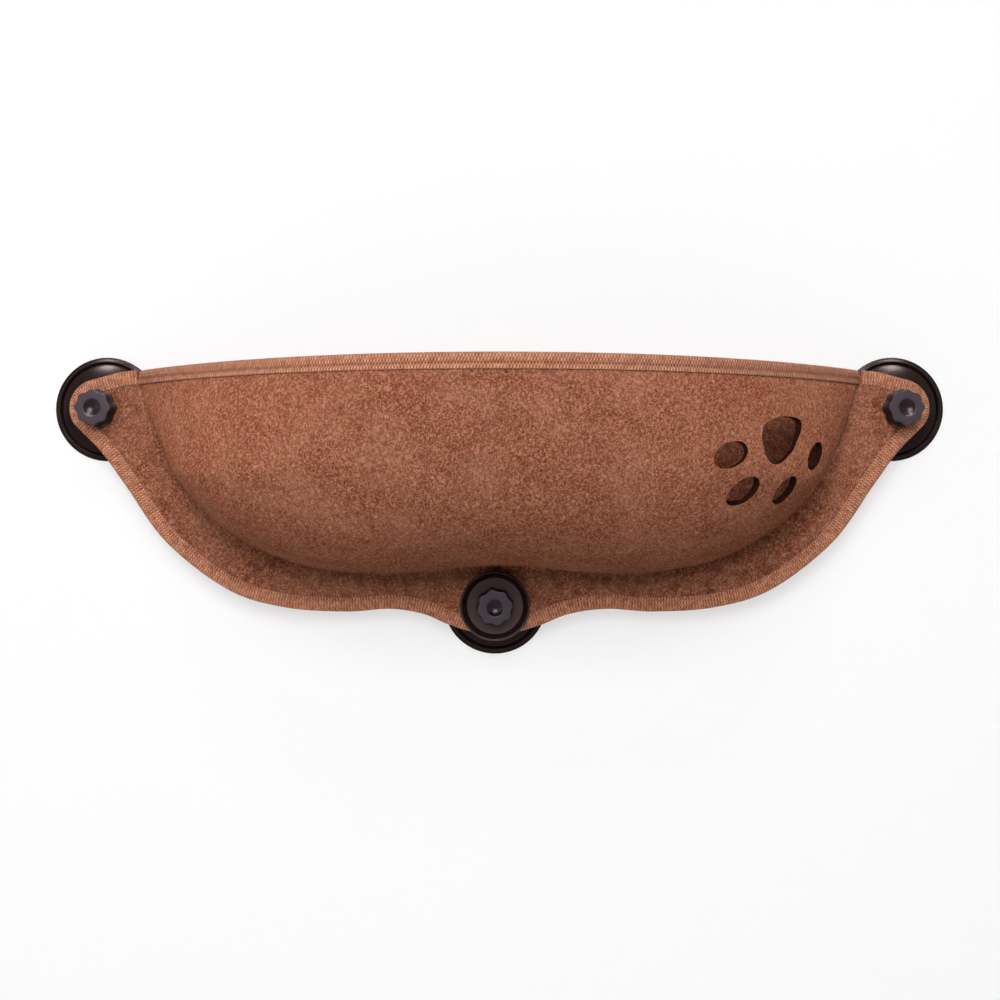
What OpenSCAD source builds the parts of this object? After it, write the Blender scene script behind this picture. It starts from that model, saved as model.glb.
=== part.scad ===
// Window mounted cat perch: a moulded felt pod on a felt back, held to the
// glass by three suction cups with screwed thumb knobs. The origin is on the
// glass, midway between the two upper cups. +Z is up and the room is at -Y.

/* [Pod] */
// Width of the pod's mouth where it meets the flange
pod_w = 572; // [520:1:620]
// Height of the pod from the top of its rim to the flange below
pod_h = 162; // [140:1:180]
// How far the rim's middle stands out from the flange
pod_out = 208; // [180:1:230]
// Height of the rim's ends above the upper cups' axes
rim_rise = 29.4; // [27:0.2:32]
// Rise of the rim's middle over its ends
rim_arch = 0.8; // [0:0.1:5]
// Height of the dent under the pod's middle
dent_h = 8.8; // [0:0.2:12]
// Reach of the dent to each side
dent_w = 66; // [40:1:90]

/* [Felt] */
// Thickness of the moulded front felt
felt_t = 4; // [3:0.1:5]
// Thickness of the flat back felt
back_t = 3; // [2:0.1:4]
// Width of the flange beside the pod
flange_w = 40.5; // [36:0.5:46]
// Radius of the felt round each cup's axis
tab_r = 22.4; // [21:0.1:25]
// Distance from the pod's side to an upper cup's axis
upper_gap = 32; // [29:0.5:36]
// Distance from the pod's bottom to the lower cup's axis
lower_gap = 32.8; // [31:0.2:36]
// Sideways place of the lower cup and the swell round it
lower_shift = -3.6; // [-6:0.2:6]
// Amount the back felt's top edge lies below the rim's ends
back_dip = 1.5; // [0.5:0.1:4]

/* [Tape] */
// Thickness of the binding tape
tape_t = 0.8; // [0.5:0.1:1.2]
// Width of the tape on each face of the felt
flap_w = 10.4; // [8:0.1:11]
// Width of the rim tape on each face of the felt
rim_flap = 5.8; // [4:0.1:8]
// Diameter of the wire in the rim tape
wire_d = 3.6; // [2:0.1:4.6]

/* [Paw cut-outs] */
// Length of a toe cut-out
toe_l = 30; // [24:0.5:34]
// Width of a toe cut-out
toe_w = 19; // [14:0.5:22]
// Length of the pad cut-out
pad_l = 50; // [40:1:54]
// Height of the pad cut-out
pad_w = 35; // [28:1:40]

/* [Suction cups] */
// Diameter of a cup's lip on the glass
cup_d = 84; // [76:1:92]
// Distance from the glass to the back felt
cup_h = 26; // [24:0.5:30]
// Thickness of the lip at its edge
lip_t = 1.4; // [0.8:0.1:2]
// Width of the flat lip face on the glass
lip_w = 5; // [3:0.5:8]
// Depth of the hollow under the cup
hollow_h = 5.5; // [4:0.5:7]
// Height of the dome where it meets the boss
dome_h = 14; // [12:0.5:17]
// Height of the bead ring round the dome
bead_h = 0.9; // [0.4:0.1:1.4]

/* [Studs] */
// Diameter of the stud
stud_d = 8; // [6:0.5:9]
// Thickness of the stud's buried head
head_h = 3; // [2:0.5:4]
// Height of the buried head above the glass
head_rise = 9; // [8:0.5:11]
// Length of thread inside a knob
engage = 13; // [10:0.5:14]
// Gap round the stud in each felt and washer
hole_gap = 0.5; // [0.3:0.1:1]
// Running gap between the stud and a knob's insert
run_gap = 0.05; // [0.02:0.01:0.08]

/* [Knobs] */
// Diameter over the lobes of a knob
knob_d = 28; // [25:0.5:32]
// Height of a knob
knob_h = 20; // [18:0.5:24]
// Depth of the grooves between the lobes
lobe_cut = 1.5; // [0.6:0.1:2]
// Number of lobes
lobes = 8; // [6:1:12]
// Extra radius of a knob's foot
foot_out = 1.1; // [0.4:0.1:1.6]
// Height of a knob's foot
foot_h = 4; // [2:0.5:6]
// Diameter of the thumb dimple
dimple_d = 14.4; // [10:0.2:17]
// Depth of the thumb dimple
dimple_h = 2.2; // [1:0.1:3]
// Diameter of the threaded insert
insert_d = 12; // [11:0.5:14]
// Length of the threaded insert
insert_h = 12; // [9:0.5:12.5]

/* [Washers] */
// Thickness of an upper washer
washer_t = 1.6; // [1.2:0.1:2.4]
// Diameter of the lower clamp disc
disc_d = 55.4; // [50:0.2:58]
// Thickness of the clamp disc
disc_t = 1.8; // [1.4:0.1:2.4]
// Height of the clamp disc's dished rim above its face
disc_rise = 4.4; // [3:0.1:6]
// Width of the clamp disc's bevel
disc_bevel = 5.4; // [4:0.1:7]
// Height of the clamp disc's foot, which clears the tape
disc_foot = 1.3; // [1.2:0.1:2]

/* [Hidden] */

$fn = 64;
// Small overrun that all cuts share, and the gap between bent cloth pieces
over = 1;
cloth_gap = 0.3;
// Gap between a stud's head and the rubber moulded round it
mould_gap = 0.05;

// Places out from the glass
back_at = cup_h;
flange_at = back_at + back_t;
front_at = flange_at + felt_t;
washer_at = front_at;
knob_at = front_at + washer_t;
disc_face_at = front_at + disc_foot + disc_t;

// Shape powers of the pod: its outline on the flange, its cross section and
// how its plan turns from a parabola at the rim to an ellipse below
corner_power = 4.25;
side_power = 1.36;
belly_power = 3;
low_plan_power = 2.9;
low_edge_power = 0.51;
blend_share = 0.5;

// The felt edge lies below the wire and the tape over it
wire_up = (wire_d + cloth_gap) / 2;
bend_r = max(felt_t, wire_d) / 2 + cloth_gap;
edge_drop = wire_up + bend_r + tape_t;

// Cup axes, [across, up]
pod_a = pod_w / 2;
upper_x = pod_a + upper_gap;
root_low = rim_rise - pod_h + dent_h;
lower_up = root_low - lower_gap;
cup_places = [[-upper_x, 0], [upper_x, 0], [lower_shift, lower_up]];
// Radius of everything that seats on the felt inside the tape
seat_gap = 0.6;
seat_r = tab_r - flap_w - seat_gap;

// Half width of the pod at a share s of its height, as a share
function slice_w(s) = pow(max(0, 1 - pow(s, side_power)), 1 / corner_power);
// Depth of the pod's middle at a share s of its height, as a share
function slice_d(s) = sqrt(max(0, 1 - pow(s, belly_power)));
// How far the pod stands out at share x of its half width and s of its height
function fill(x, s) = let(
        b = min(1, s / blend_share),
        p = 2 + (low_plan_power - 2) * b,
        q = 1 + (low_edge_power - 1) * b,
        w = slice_w(s),
        r = w > 0 ? min(1, x / w) : 1)
    slice_d(s) * pow(max(0, 1 - pow(r, p)), q);
// Height of the pod's surface at a place across and a drop below the rim
function height(x, s, drop) = rim_rise + rim_arch * (1 - min(1, x * x)) * (1 - s) - drop
    + dent_h * exp(-pow(x * pod_a / dent_w, 2)) * s * s;
// A point of the pod's skin, [across, up, out], the given inset from its face
function skin(x, drop, inset) = let(
        a = pod_a - inset,
        s = min(1, drop / (pod_h - inset)),
        xs = min(1, abs(x) / a))
    [x, height(xs, s, drop), front_at - inset + pod_out * fill(xs, s)];

// The pod's root on the flange meets cx, cy times this
function root_r(cx, cy, r = 1, k = 24) = k == 0 ? r : let(
        g = pow(cx * r, corner_power) + pow(cy * r, side_power) - 1,
        d = corner_power * pow(cx, corner_power) * pow(r, corner_power - 1)
            + side_power * pow(cy, side_power) * pow(r, side_power - 1))
    root_r(cx, cy, r - g / d, k - 1);
// Root point at an angle, [across, drop], for a skin at the given inset
function root_at(phi, inset) = let(r = root_r(sin(phi), cos(phi)))
    [(pod_a - inset) * sin(phi) * r, (pod_h - inset) * cos(phi) * r];
function root_point(phi) = let(
        c = root_at(phi, 0),
        p = skin(c[0], c[1], 0))
    [p[0], p[1]];

// Angles of the root: they start at the mouth's corner, and crowd there
root_end = 87;
root_turn = 74;

// Felt outline of the right half, from the mouth's corner to below the pod.
// Beside the pod it keeps a margin that is a share of the flange's width,
// and below it swells round the lower cup by shares of the tab's radius.
corner_gap = 1.5;
corner_share = 1;
shoulder_share = [0.45, 0.95];
arc_from = 80;
arc_to = -32;
arc_steps = 8;
margin_angle = [73.5, 64.5, 51, 39, 31, 23, 17];
margin_share = [1.14, 1.0, 1.01, 1.0, 0.906, 0.78, 0.70];
swell_share = [[2.6, 0.27], [1.7, 0.63], [0.85, 0.9], [0, 1]];

corner = [pod_a + corner_gap, rim_rise * corner_share];
shoulder = [pod_a + upper_gap * shoulder_share[0], rim_rise * shoulder_share[1]];
arc_points = [for (i = [0 : arc_steps]) let(t = arc_from + (arc_to - arc_from) * i / arc_steps)
    [upper_x + tab_r * cos(t), tab_r * sin(t)]];
margin_points = [for (i = [0 : len(margin_angle) - 1]) let(
        p = root_point(margin_angle[i]),
        a = root_point(margin_angle[i] + 1),
        b = root_point(margin_angle[i] - 1),
        d = unit([a[0] - b[0], a[1] - b[1]]))
    [p[0] + flange_w * margin_share[i] * d[1], p[1] - flange_w * margin_share[i] * d[0]]];
swell_points = [for (s = swell_share) [tab_r * s[0], lower_up - tab_r * s[1]]];

function unit(v) = v / norm(v);
// Point at share t of a smooth curve between b and c
function curve(a, b, c, d, t) = 0.5 * (2 * b + (c - a) * t + (2 * a - 5 * b + 4 * c - d) * t * t
    + (3 * b - a - 3 * c + d) * t * t * t);
function smooth(pts, steps) = [for (i = [1 : len(pts) - 3], k = [0 : steps - 1])
    curve(pts[i - 1], pts[i], pts[i + 1], pts[i + 2], k / steps)];
function mirrored(p) = [-p[0], p[1]];

side_run = concat([arc_points[arc_steps - 1], arc_points[arc_steps]], margin_points, swell_points,
    [mirrored(swell_points[len(swell_points) - 2])]);
side_steps = 2;
edge_half = concat([corner, shoulder], [for (i = [0 : arc_steps - 1]) arc_points[i]],
    smooth(side_run, side_steps), [swell_points[len(swell_points) - 1]]);
half_n = len(edge_half) - 1;
edge_n = 2 * half_n;
// The swell follows the lower cup sideways, and the shift fades beside it
swell_reach_share = 3.4;
function shifted(p) = [p[0] + lower_shift * exp(-pow(p[0] / (swell_reach_share * tab_r), 4)), p[1]];
edge = [for (i = [0 : edge_n])
    shifted(i <= half_n ? edge_half[i] : mirrored(edge_half[edge_n - i]))];

// The edge line moved sideways: above 0 away from the felt
function edge_way(i) = unit(edge[min(i + 1, edge_n)] - edge[max(i - 1, 0)]);
function edge_moved(m) = [for (i = [0 : edge_n]) let(d = edge_way(i))
    edge[i] + m * [-d[1], d[0]]];
function reversed(a) = [for (i = [len(a) - 1 : -1 : 0]) a[i]];
function band(outer, inner) = concat(edge_moved(outer), reversed(edge_moved(inner)));

// Sweep of closed sections with equal counts, each [across, up, out]. Sections
// that run the other way round keep their diagonals when turned is true.
module sweep(sections, turned = false) {
    n = len(sections) - 1;
    m = len(sections[0]);
    points = [for (s = sections, p = s) p];
    sides = [for (i = [0 : n - 1], k = [0 : m - 1], h = [0, 1]) let(
            a = i * m + k,
            b = i * m + (k + 1) % m,
            c = (i + 1) * m + (k + 1) % m,
            d = (i + 1) * m + k)
        h == 0 ? [a, b, c] : [a, c, d]];
    ends = [for (e = [0, n], k = [0 : m / 2 - 2], h = [0, 1]) let(
            a = e * m + k,
            b = e * m + k + 1,
            c = e * m + m - 2 - k,
            d = e * m + m - 1 - k,
            f = h == 0 ? [a, b, c] : [a, c, d])
        e == 0 ? [f[2], f[1], f[0]] : f];
    faces = [for (f = concat(sides, ends)) turned ? [f[2], f[1], f[0]] : f];
    polyhedron(points = points, faces = faces, convexity = 6);
}

module facing_room() {
    rotate([90, 0, 0]) children();
}

// Everything round one cup's axis is drawn along +Z and placed here
module at_cup(i) {
    facing_room() translate([cup_places[i][0], cup_places[i][1], 0]) children();
}

module stud_holes(from, to) {
    for (i = [0 : 2]) {
        translate([cup_places[i][0], cup_places[i][1], from - over])
            cylinder(d = stud_d + 2 * hole_gap, h = to - from + 2 * over);
    }
}

// Flat felt against the cups
module back_panel() {
    top = rim_rise - back_dip;
    inner = pod_a - 2 * felt_t;
    color("#8f5c45") facing_room() difference() {
        translate([0, 0, back_at]) linear_extrude(back_t)
            polygon(concat(edge, [[-inner, top], [inner, top]]));
        stud_holes(back_at, flange_at);
    }
}

// One section of the shell: outer face from rim to root, the flange's edge
// front and back, then the inner face from root to rim
shell_rings = 9;
function shell_angle(i) = let(
        k = i <= half_n ? i : edge_n - i,
        turn = arc_steps + 2)
    k <= turn ? root_end + (root_turn - root_end) * k / turn
        : root_turn * (1 - (k - turn) / (half_n - turn));
// Down a meridian: the rim, the lower edge of the rim's tape, then on to the root
flap_limit_share = 0.5;
function meridian(i, inset) = let(
        phi = shell_angle(i),
        side = i <= half_n ? 1 : -1,
        s = edge_drop / (pod_h - inset),
        root = root_at(phi, inset),
        rim_x = (pod_a - inset) * slice_w(s) * sin(phi),
        flap = min(flap_limit_share, rim_flap / (root[1] - edge_drop)))
    [for (k = [-1 : shell_rings]) let(
        v = k < 0 ? 0 : flap + (1 - flap) * sin(90 * k / shell_rings),
        x = rim_x + (root[0] - rim_x) * v,
        drop = edge_drop + (root[1] - edge_drop) * v,
        p = skin(x, drop, inset))
    [side * p[0], p[1], p[2]]];
function shell_section(i) = concat(meridian(i, 0),
    [[edge[i][0], edge[i][1], front_at], [edge[i][0], edge[i][1], flange_at]],
    reversed(meridian(i, felt_t)));

// Frame on the pod's skin at a share across and a share down, and its holes
module on_skin(x_share, drop_share) {
    x = pod_a * x_share;
    drop = pod_h * drop_share;
    step = felt_t / 8;
    p = skin(x, drop, felt_t / 2);
    right = skin(x + step, drop, felt_t / 2) - skin(x - step, drop, felt_t / 2);
    down = skin(x, drop - step, felt_t / 2) - skin(x, drop + step, felt_t / 2);
    square_on = unit(cross(right, down));
    n = unit([square_on[0], square_on[1] * paw_level_share, square_on[2]]);
    across = unit([n[2], 0, -n[0]]);
    up = cross(n, across);
    multmatrix([[across[0], up[0], n[0], p[0]], [across[1], up[1], n[1], p[1]],
        [across[2], up[2], n[2], p[2]], [0, 0, 0, 1]])
        translate([0, 0, -2 * felt_t]) linear_extrude(5 * felt_t) children();
}

// The cuts lean with the skin sideways but stay nearly level.
// Toes: place as shares of the pod's half width and height, turn in degrees,
// length and width as shares of a toe's. Pad: outline as shares of its size.
paw_level_share = 0.3;
toe_share = [[0.558, 0.418, 18, 1.03, 0.93], [0.595, 0.572, 27, 0.9, 1.22],
    [0.715, 0.57, -20, 0.87, 1.2], [0.807, 0.42, 24, 1.05, 0.96]];
pad_place_share = [0.697, 0.349];
pad_steps = 3;
pad_share = [[-0.44, 0.0], [-0.40, 0.18], [-0.29, 0.34], [-0.06, 0.44], [0.2, 0.48], [0.48, 0.46],
    [0.61, 0.38], [0.56, 0.2], [0.44, 0.01], [0.26, -0.24], [-0.02, -0.46], [-0.23, -0.51],
    [-0.37, -0.39], [-0.42, -0.2]];
pad_n = len(pad_share);
pad_run = [for (i = [0 : pad_n + 2]) let(s = pad_share[i % pad_n]) [s[0] * pad_l, s[1] * pad_w]];

module paw_cuts() {
    for (t = toe_share) {
        on_skin(t[0], t[1]) rotate(t[2])
            polygon([for (a = [0 : 15 : 345]) [toe_l / 2 * t[3] * cos(a), toe_w / 2 * t[4] * sin(a)]]);
    }
    on_skin(pad_place_share[0], pad_place_share[1]) polygon(smooth(pad_run, pad_steps));
}

// Moulded front felt: the flange and the pod in one piece
module pod_shell() {
    color("#9d664c") facing_room() difference() {
        sweep([for (i = [0 : edge_n]) shell_section(i)]);
        stud_holes(flange_at, front_at);
        paw_cuts();
    }
}

// Tape folded round both felts' edge, from one mouth corner to the other
module edge_binding() {
    color("#b3775c") facing_room() difference() {
        translate([0, 0, back_at - tape_t]) linear_extrude(front_at - back_at + 2 * tape_t)
            polygon(band(tape_t, -flap_w));
        translate([0, 0, back_at]) linear_extrude(front_at - back_at)
            polygon(band(0, -flap_w - over));
    }
}

// Tape folded over the back felt's top edge, behind the pod's mouth
module top_binding() {
    top = rim_rise - back_dip;
    half = pod_a - 3 * felt_t;
    color("#b3775c") facing_room() difference() {
        translate([-half, top - flap_w, back_at - tape_t])
            cube([2 * half, flap_w + tape_t, back_t + 2 * tape_t]);
        translate([-half - over, top - flap_w - over, back_at])
            cube([2 * half + 2 * over, flap_w + over, back_t]);
    }
}

// The rim's tape and wire take the shell's own sections from this one on, so
// their facets run alongside the felt's. The direction along the rim is level.
rim_from = 6;
rim_end_l = 3 * felt_t;
function rim_mid(i) = (meridian(i, 0)[0] + meridian(i, felt_t)[0]) / 2;
function rim_way(i) = let(d = rim_mid(i - 1) - rim_mid(i + 1))
    unit([d[0], 0, d[2]]);
function rim_out(i) = let(w = rim_way(i))
    [-w[2], 0, w[0]];
// Section round the rim: the outline of the tape's outside from the outer
// flap over the wire to the inner flap, and back inside it
bend_steps = 4;
function flap_side(i, side, gap) = let(line = meridian(i, side > 0 ? 0 : felt_t))
    [for (k = [1, 0]) line[k] + side * gap * rim_out(i)];
function bend(i, gap) = let(
        m = rim_mid(i) + [0, wire_up, 0],
        r = bend_r - cloth_gap + gap)
    [for (k = [0 : bend_steps]) let(t = 180 * k / bend_steps)
        m + r * cos(t) * rim_out(i) + [0, r * sin(t), 0]];
function tape_section(i) = let(far = cloth_gap + tape_t)
    concat(flap_side(i, 1, far), bend(i, far), reversed(flap_side(i, -1, far)),
        flap_side(i, -1, cloth_gap), reversed(bend(i, cloth_gap)),
        reversed(flap_side(i, 1, cloth_gap)));
function wire_section(i) = let(m = rim_mid(i) + [0, wire_up, 0])
    [for (k = [0 : 9]) m + wire_d / 2 * (cos(36 * k) * rim_out(i) + [0, sin(36 * k), 0])];
function moved(pts, v) = [for (p = pts) p + v];

module rim_sweep(kind, end_at) {
    to = edge_n - rim_from;
    core = [for (i = [rim_from : to]) kind == 0 ? tape_section(i) : wire_section(i)];
    difference() {
        sweep(concat([moved(core[0], rim_end_l * rim_way(rim_from))], core,
            [moved(core[to - rim_from], -rim_end_l * rim_way(to))]), turned = true);
        translate([-pod_w, -pod_h, end_at - pod_out])
            cube([2 * pod_w, 2 * pod_h, pod_out]);
    }
}

// Tape folded over the rim and its wire
module rim_binding() {
    color("#b3775c") facing_room() rim_sweep(0, front_at + tape_t + cloth_gap);
}

// Wire inside the rim's tape, which holds the mouth open
module rim_wire() {
    color("#8c8f94") facing_room() rim_sweep(1, front_at + tape_t + cloth_gap + felt_t);
}

// Suction cup: lip, bead, dome and boss, hollow below
// Places along the dome as shares of its width and height
dome_share = [[1, 0], [0.93, 0.14], [0.83, 0.28], [0.72, 0.41], [0.6, 0.53], [0.47, 0.65],
    [0.33, 0.76], [0.2, 0.87], [0.09, 0.96], [0, 1.12]];
hollow_share = [[1, 0], [0.86, 0.28], [0.7, 0.53], [0.52, 0.75], [0.3, 0.92], [0.12, 0.99], [0, 1]];
module suction_cup() {
    lip_r = cup_d / 2;
    bead_r = lip_r - lip_w;
    dome_r = bead_r - 2 * bead_h;
    dome_at = lip_t + bead_h;
    rubber = [for (s = dome_share) [seat_r + (dome_r - seat_r) * s[0],
        dome_at + (dome_h - dome_at) * s[1]]];
    under = [for (s = hollow_share) [(lip_r - lip_w) * s[0], hollow_h * s[1]]];
    color("#1a1719") difference() {
        rotate_extrude($fn = 96) polygon(concat(reversed(under), [[lip_r, 0], [lip_r, lip_t],
            [bead_r + 2 * bead_h, lip_t + bead_h / 2], [bead_r + bead_h / 2, lip_t + 2 * bead_h],
            [bead_r - bead_h / 2, lip_t + 2 * bead_h]], rubber, [[seat_r, cup_h], [0, cup_h]]));
        stud_cavity();
    }
}

module stud_cavity() {
    translate([0, 0, head_rise - mould_gap])
        cylinder(r = head_r() + mould_gap, h = head_h + 2 * mould_gap);
    translate([0, 0, head_rise]) cylinder(r = stud_d / 2 + run_gap, h = cup_h - head_rise + over);
}

head_share = 0.8;
function head_r() = seat_r * head_share;

module stud(tip_at) {
    color("#9a9da1") union() {
        translate([0, 0, head_rise]) cylinder(r = head_r(), h = head_h);
        translate([0, 0, head_rise + head_h / 2]) cylinder(d = stud_d, h = tip_at - head_rise - head_h / 2);
    }
}

module washer() {
    color("#2a2627") translate([0, 0, washer_at]) difference() {
        cylinder(r = seat_r, h = washer_t);
        translate([0, 0, -over]) cylinder(d = stud_d + 2 * hole_gap, h = washer_t + 2 * over);
    }
}

// Dished disc under the lower knob: it seats inside the tape and lifts over it
module clamp_disc() {
    r = disc_d / 2;
    hole = stud_d / 2 + hole_gap;
    face_r = r - disc_bevel;
    edge_t = disc_t / 2;
    color("#2a2225") translate([0, 0, front_at]) rotate_extrude($fn = 96) polygon([[hole, 0],
        [seat_r - disc_foot, 0], [seat_r, disc_foot], [face_r, disc_foot],
        [r - edge_t, disc_foot + disc_rise - edge_t], [r, disc_foot + disc_rise],
        [r, disc_foot + disc_t + disc_rise - edge_t], [r - edge_t, disc_foot + disc_t + disc_rise],
        [r - 2 * edge_t, disc_foot + disc_t + disc_rise - edge_t / 2],
        [face_r + edge_t / 2, disc_foot + disc_t + edge_t / 2],
        [face_r, disc_foot + disc_t], [hole, disc_foot + disc_t]]);
}

// Lobed outline of a knob at radius r
function lobed(r) = [for (a = [0 : 3 : 357]) let(q = r - lobe_cut * (1 - cos(lobes * a)) / 2)
    [q * cos(a), q * sin(a)]];

// Knob along +Z from its foot, with a thumb dimple above and a socket below
module knob() {
    r = knob_d / 2;
    edge_r = foot_out / 2;
    dimple_r = (dimple_d * dimple_d / 4 + dimple_h * dimple_h) / (2 * dimple_h);
    color("#4a474d") difference() {
        union() {
            linear_extrude(foot_h) polygon(lobed(r + foot_out));
            linear_extrude(knob_h - edge_r) polygon(lobed(r));
            linear_extrude(knob_h) polygon(lobed(r - edge_r));
        }
        translate([0, 0, knob_h - dimple_h + dimple_r]) sphere(r = dimple_r, $fn = 96);
        translate([0, 0, -over]) cylinder(r = insert_d / 2 + mould_gap, h = insert_h + over);
        translate([0, 0, -over]) cylinder(r = stud_d / 2 + hole_gap, h = engage + 2 * over);
    }
}

module knob_insert() {
    color("#b08d57") difference() {
        cylinder(d = insert_d, h = insert_h);
        translate([0, 0, -over]) cylinder(r = stud_d / 2 + run_gap, h = insert_h + 2 * over);
    }
}

module raised(height_at) {
    translate([0, 0, height_at]) children();
}

back_panel();
pod_shell();
edge_binding();
top_binding();
rim_binding();
rim_wire();
at_cup(0) suction_cup();  // suction_cup_left
at_cup(1) suction_cup();  // suction_cup_right
at_cup(2) suction_cup();  // suction_cup_lower
at_cup(0) stud(knob_at + engage);  // stud_left
at_cup(1) stud(knob_at + engage);  // stud_right
at_cup(2) stud(disc_face_at + engage);  // stud_lower
at_cup(0) washer();  // washer_left
at_cup(1) washer();  // washer_right
at_cup(2) clamp_disc();  // clamp_disc_lower
at_cup(0) raised(knob_at) knob();  // knob_left
at_cup(1) raised(knob_at) knob();  // knob_right
at_cup(2) raised(disc_face_at) knob();  // knob_lower
at_cup(0) raised(knob_at) knob_insert();  // knob_insert_left
at_cup(1) raised(knob_at) knob_insert();  // knob_insert_right
at_cup(2) raised(disc_face_at) knob_insert();  // knob_insert_lower
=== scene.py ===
import math

import bmesh
import bpy
import numpy as np
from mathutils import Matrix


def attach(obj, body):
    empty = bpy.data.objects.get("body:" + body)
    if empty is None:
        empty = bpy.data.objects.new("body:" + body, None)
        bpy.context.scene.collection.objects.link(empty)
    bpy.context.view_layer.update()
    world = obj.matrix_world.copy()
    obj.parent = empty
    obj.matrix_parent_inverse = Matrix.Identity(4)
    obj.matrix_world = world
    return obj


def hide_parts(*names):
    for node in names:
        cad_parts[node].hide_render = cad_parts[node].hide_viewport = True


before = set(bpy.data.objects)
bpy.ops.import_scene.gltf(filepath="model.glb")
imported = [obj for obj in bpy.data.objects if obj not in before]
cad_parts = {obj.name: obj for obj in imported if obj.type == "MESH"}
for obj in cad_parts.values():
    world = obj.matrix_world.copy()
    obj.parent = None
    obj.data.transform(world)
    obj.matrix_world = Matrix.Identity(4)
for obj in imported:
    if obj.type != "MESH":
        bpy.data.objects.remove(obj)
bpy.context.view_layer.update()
print("frame: loaded", len(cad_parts), "nodes")

# Shapes are worked out in millimetres as [across, up, out from the glass],
# and toRow gives them the row's own axes, in metres.
pod = {
    "halfWidth": 286,
    "height": 162,
    "out": 208,
    "rimRise": 29.4,
    "rimArch": 0.8,
    "dentHeight": 8.8,
    "dentReach": 66,
    "cornerPower": 4.25,
    "sidePower": 1.36,
    "bellyPower": 3,
    "lowPlanPower": 2.9,
    "lowEdgePower": 0.51,
    "blendShare": 0.5,
    "rimDrop": 5.05,
    "mouthAngle": 87,
    "tabAngle": 74,
}
felt = {
    "frontAt": 33,
    "flangeAt": 29,
    "backAt": 26,
    "frontThick": 4,
    "flangeWidth": 40.5,
    "tabRadius": 22.4,
    "upperX": 318,
    "lowerX": -3.6,
    "lowerUp": -156.6,
    "swellReach": 76.2,
    "tabFrom": 80,
    "tabTo": -32,
    "tabPoints": 9,
    "cornerPast": 1.5,
    "shoulderPast": 14.4,
    "shoulderRise": 0.95,
    "straightSteps": 8,
    "marginAngles": [73.5, 64.5, 51, 39, 31, 23, 17],
    "marginShares": [1.14, 1.0, 1.01, 1.0, 0.906, 0.78, 0.70],
    "swellShares": [[2.6, 0.27], [1.7, 0.63], [0.85, 0.9], [0, 1]],
    "topHalf": 278,
    "topUp": 27.9,
    "holeRadius": 4.5,
    "holeSteps": 40,
    "sharpAngle": 48,
}


def toRow(points):
    # across, up, out becomes x, -out, up
    points = np.asarray(points, float)
    return np.stack([points[..., 0], -points[..., 2], points[..., 1]], axis=-1) / 1000


def unit(v):
    # each vector over its length
    return v / np.maximum(np.linalg.norm(v, axis=-1, keepdims=True), 1e-12)


def lumps(points, seed, height, shortest, longest, waves=28):
    # a sum of sine waves in random directions, each as high as its share
    rng = np.random.default_rng(seed)
    ways = unit(rng.normal(size=(waves, 3)))
    lengths = rng.uniform(shortest, longest, waves)
    turns = rng.uniform(0, 2 * math.pi, waves)
    phase = points.reshape(-1, 3) @ (ways.T * 2 * math.pi / lengths) + turns
    return (np.sin(phase).sum(1) * height / math.sqrt(waves / 2)).reshape(points.shape[:-1])


def gridNormals(grid):
    # cross product of the two directions of the grid
    return unit(np.cross(np.gradient(grid, axis=1), np.gradient(grid, axis=0)))


def weldPiece(name, grids, uvGrids=None):
    # one mesh from grids of points [row, column, xyz] in the row's axes: quads
    # between neighbours, seams and poles merged, faces turned outwards
    points, faces, flatUv, start = [], [], [], 0
    for k, grid in enumerate(grids):
        rows, cols = grid.shape[:2]
        r, c = np.meshgrid(np.arange(rows - 1), np.arange(cols - 1), indexing="ij")
        first = (start + r * cols + c).ravel()
        faces.append(np.stack([first, first + 1, first + cols + 1, first + cols], axis=1))
        points.append(grid.reshape(-1, 3))
        flatUv.append(np.zeros((rows * cols, 3)) if uvGrids is None else uvGrids[k].reshape(-1, 3))
        start += rows * cols
    points, faces, flatUv = (np.concatenate(x) for x in (points, faces, flatUv))
    mesh = bpy.data.meshes.new(name)
    mesh.from_pydata(points.tolist(), [], faces.tolist())
    if uvGrids is not None:
        corners = flatUv[faces.ravel()]
        mesh.uv_layers.new(name="weave").data.foreach_set("uv", corners[:, :2].ravel())
        mesh.attributes.new("tapeShade", "FLOAT", "CORNER").data.foreach_set("value", corners[:, 2])
    work = bmesh.new()
    work.from_mesh(mesh)
    bmesh.ops.remove_doubles(work, verts=work.verts, dist=2e-6)
    bmesh.ops.dissolve_degenerate(work, edges=work.edges, dist=1e-7)
    bmesh.ops.recalc_face_normals(work, faces=work.faces)
    work.to_mesh(mesh)
    work.free()
    mesh.polygons.foreach_set("use_smooth", np.ones(len(mesh.polygons), bool))
    piece = bpy.data.objects.new(name, mesh)
    bpy.context.scene.collection.objects.link(piece)
    return piece


def sharpen(piece, degrees):
    # edges steeper than the angle stay crisp
    piece.data.set_sharp_from_angle(angle=math.radians(degrees))


def place(piece, body, slotName, material, *nodes):
    # its finish, the body that it rides, its slot, which is not used, and the nodes that it stands for
    piece.data.materials.clear()
    piece.data.materials.append(material)
    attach(piece, body)
    if nodes:
        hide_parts(*nodes)
    return piece


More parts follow.
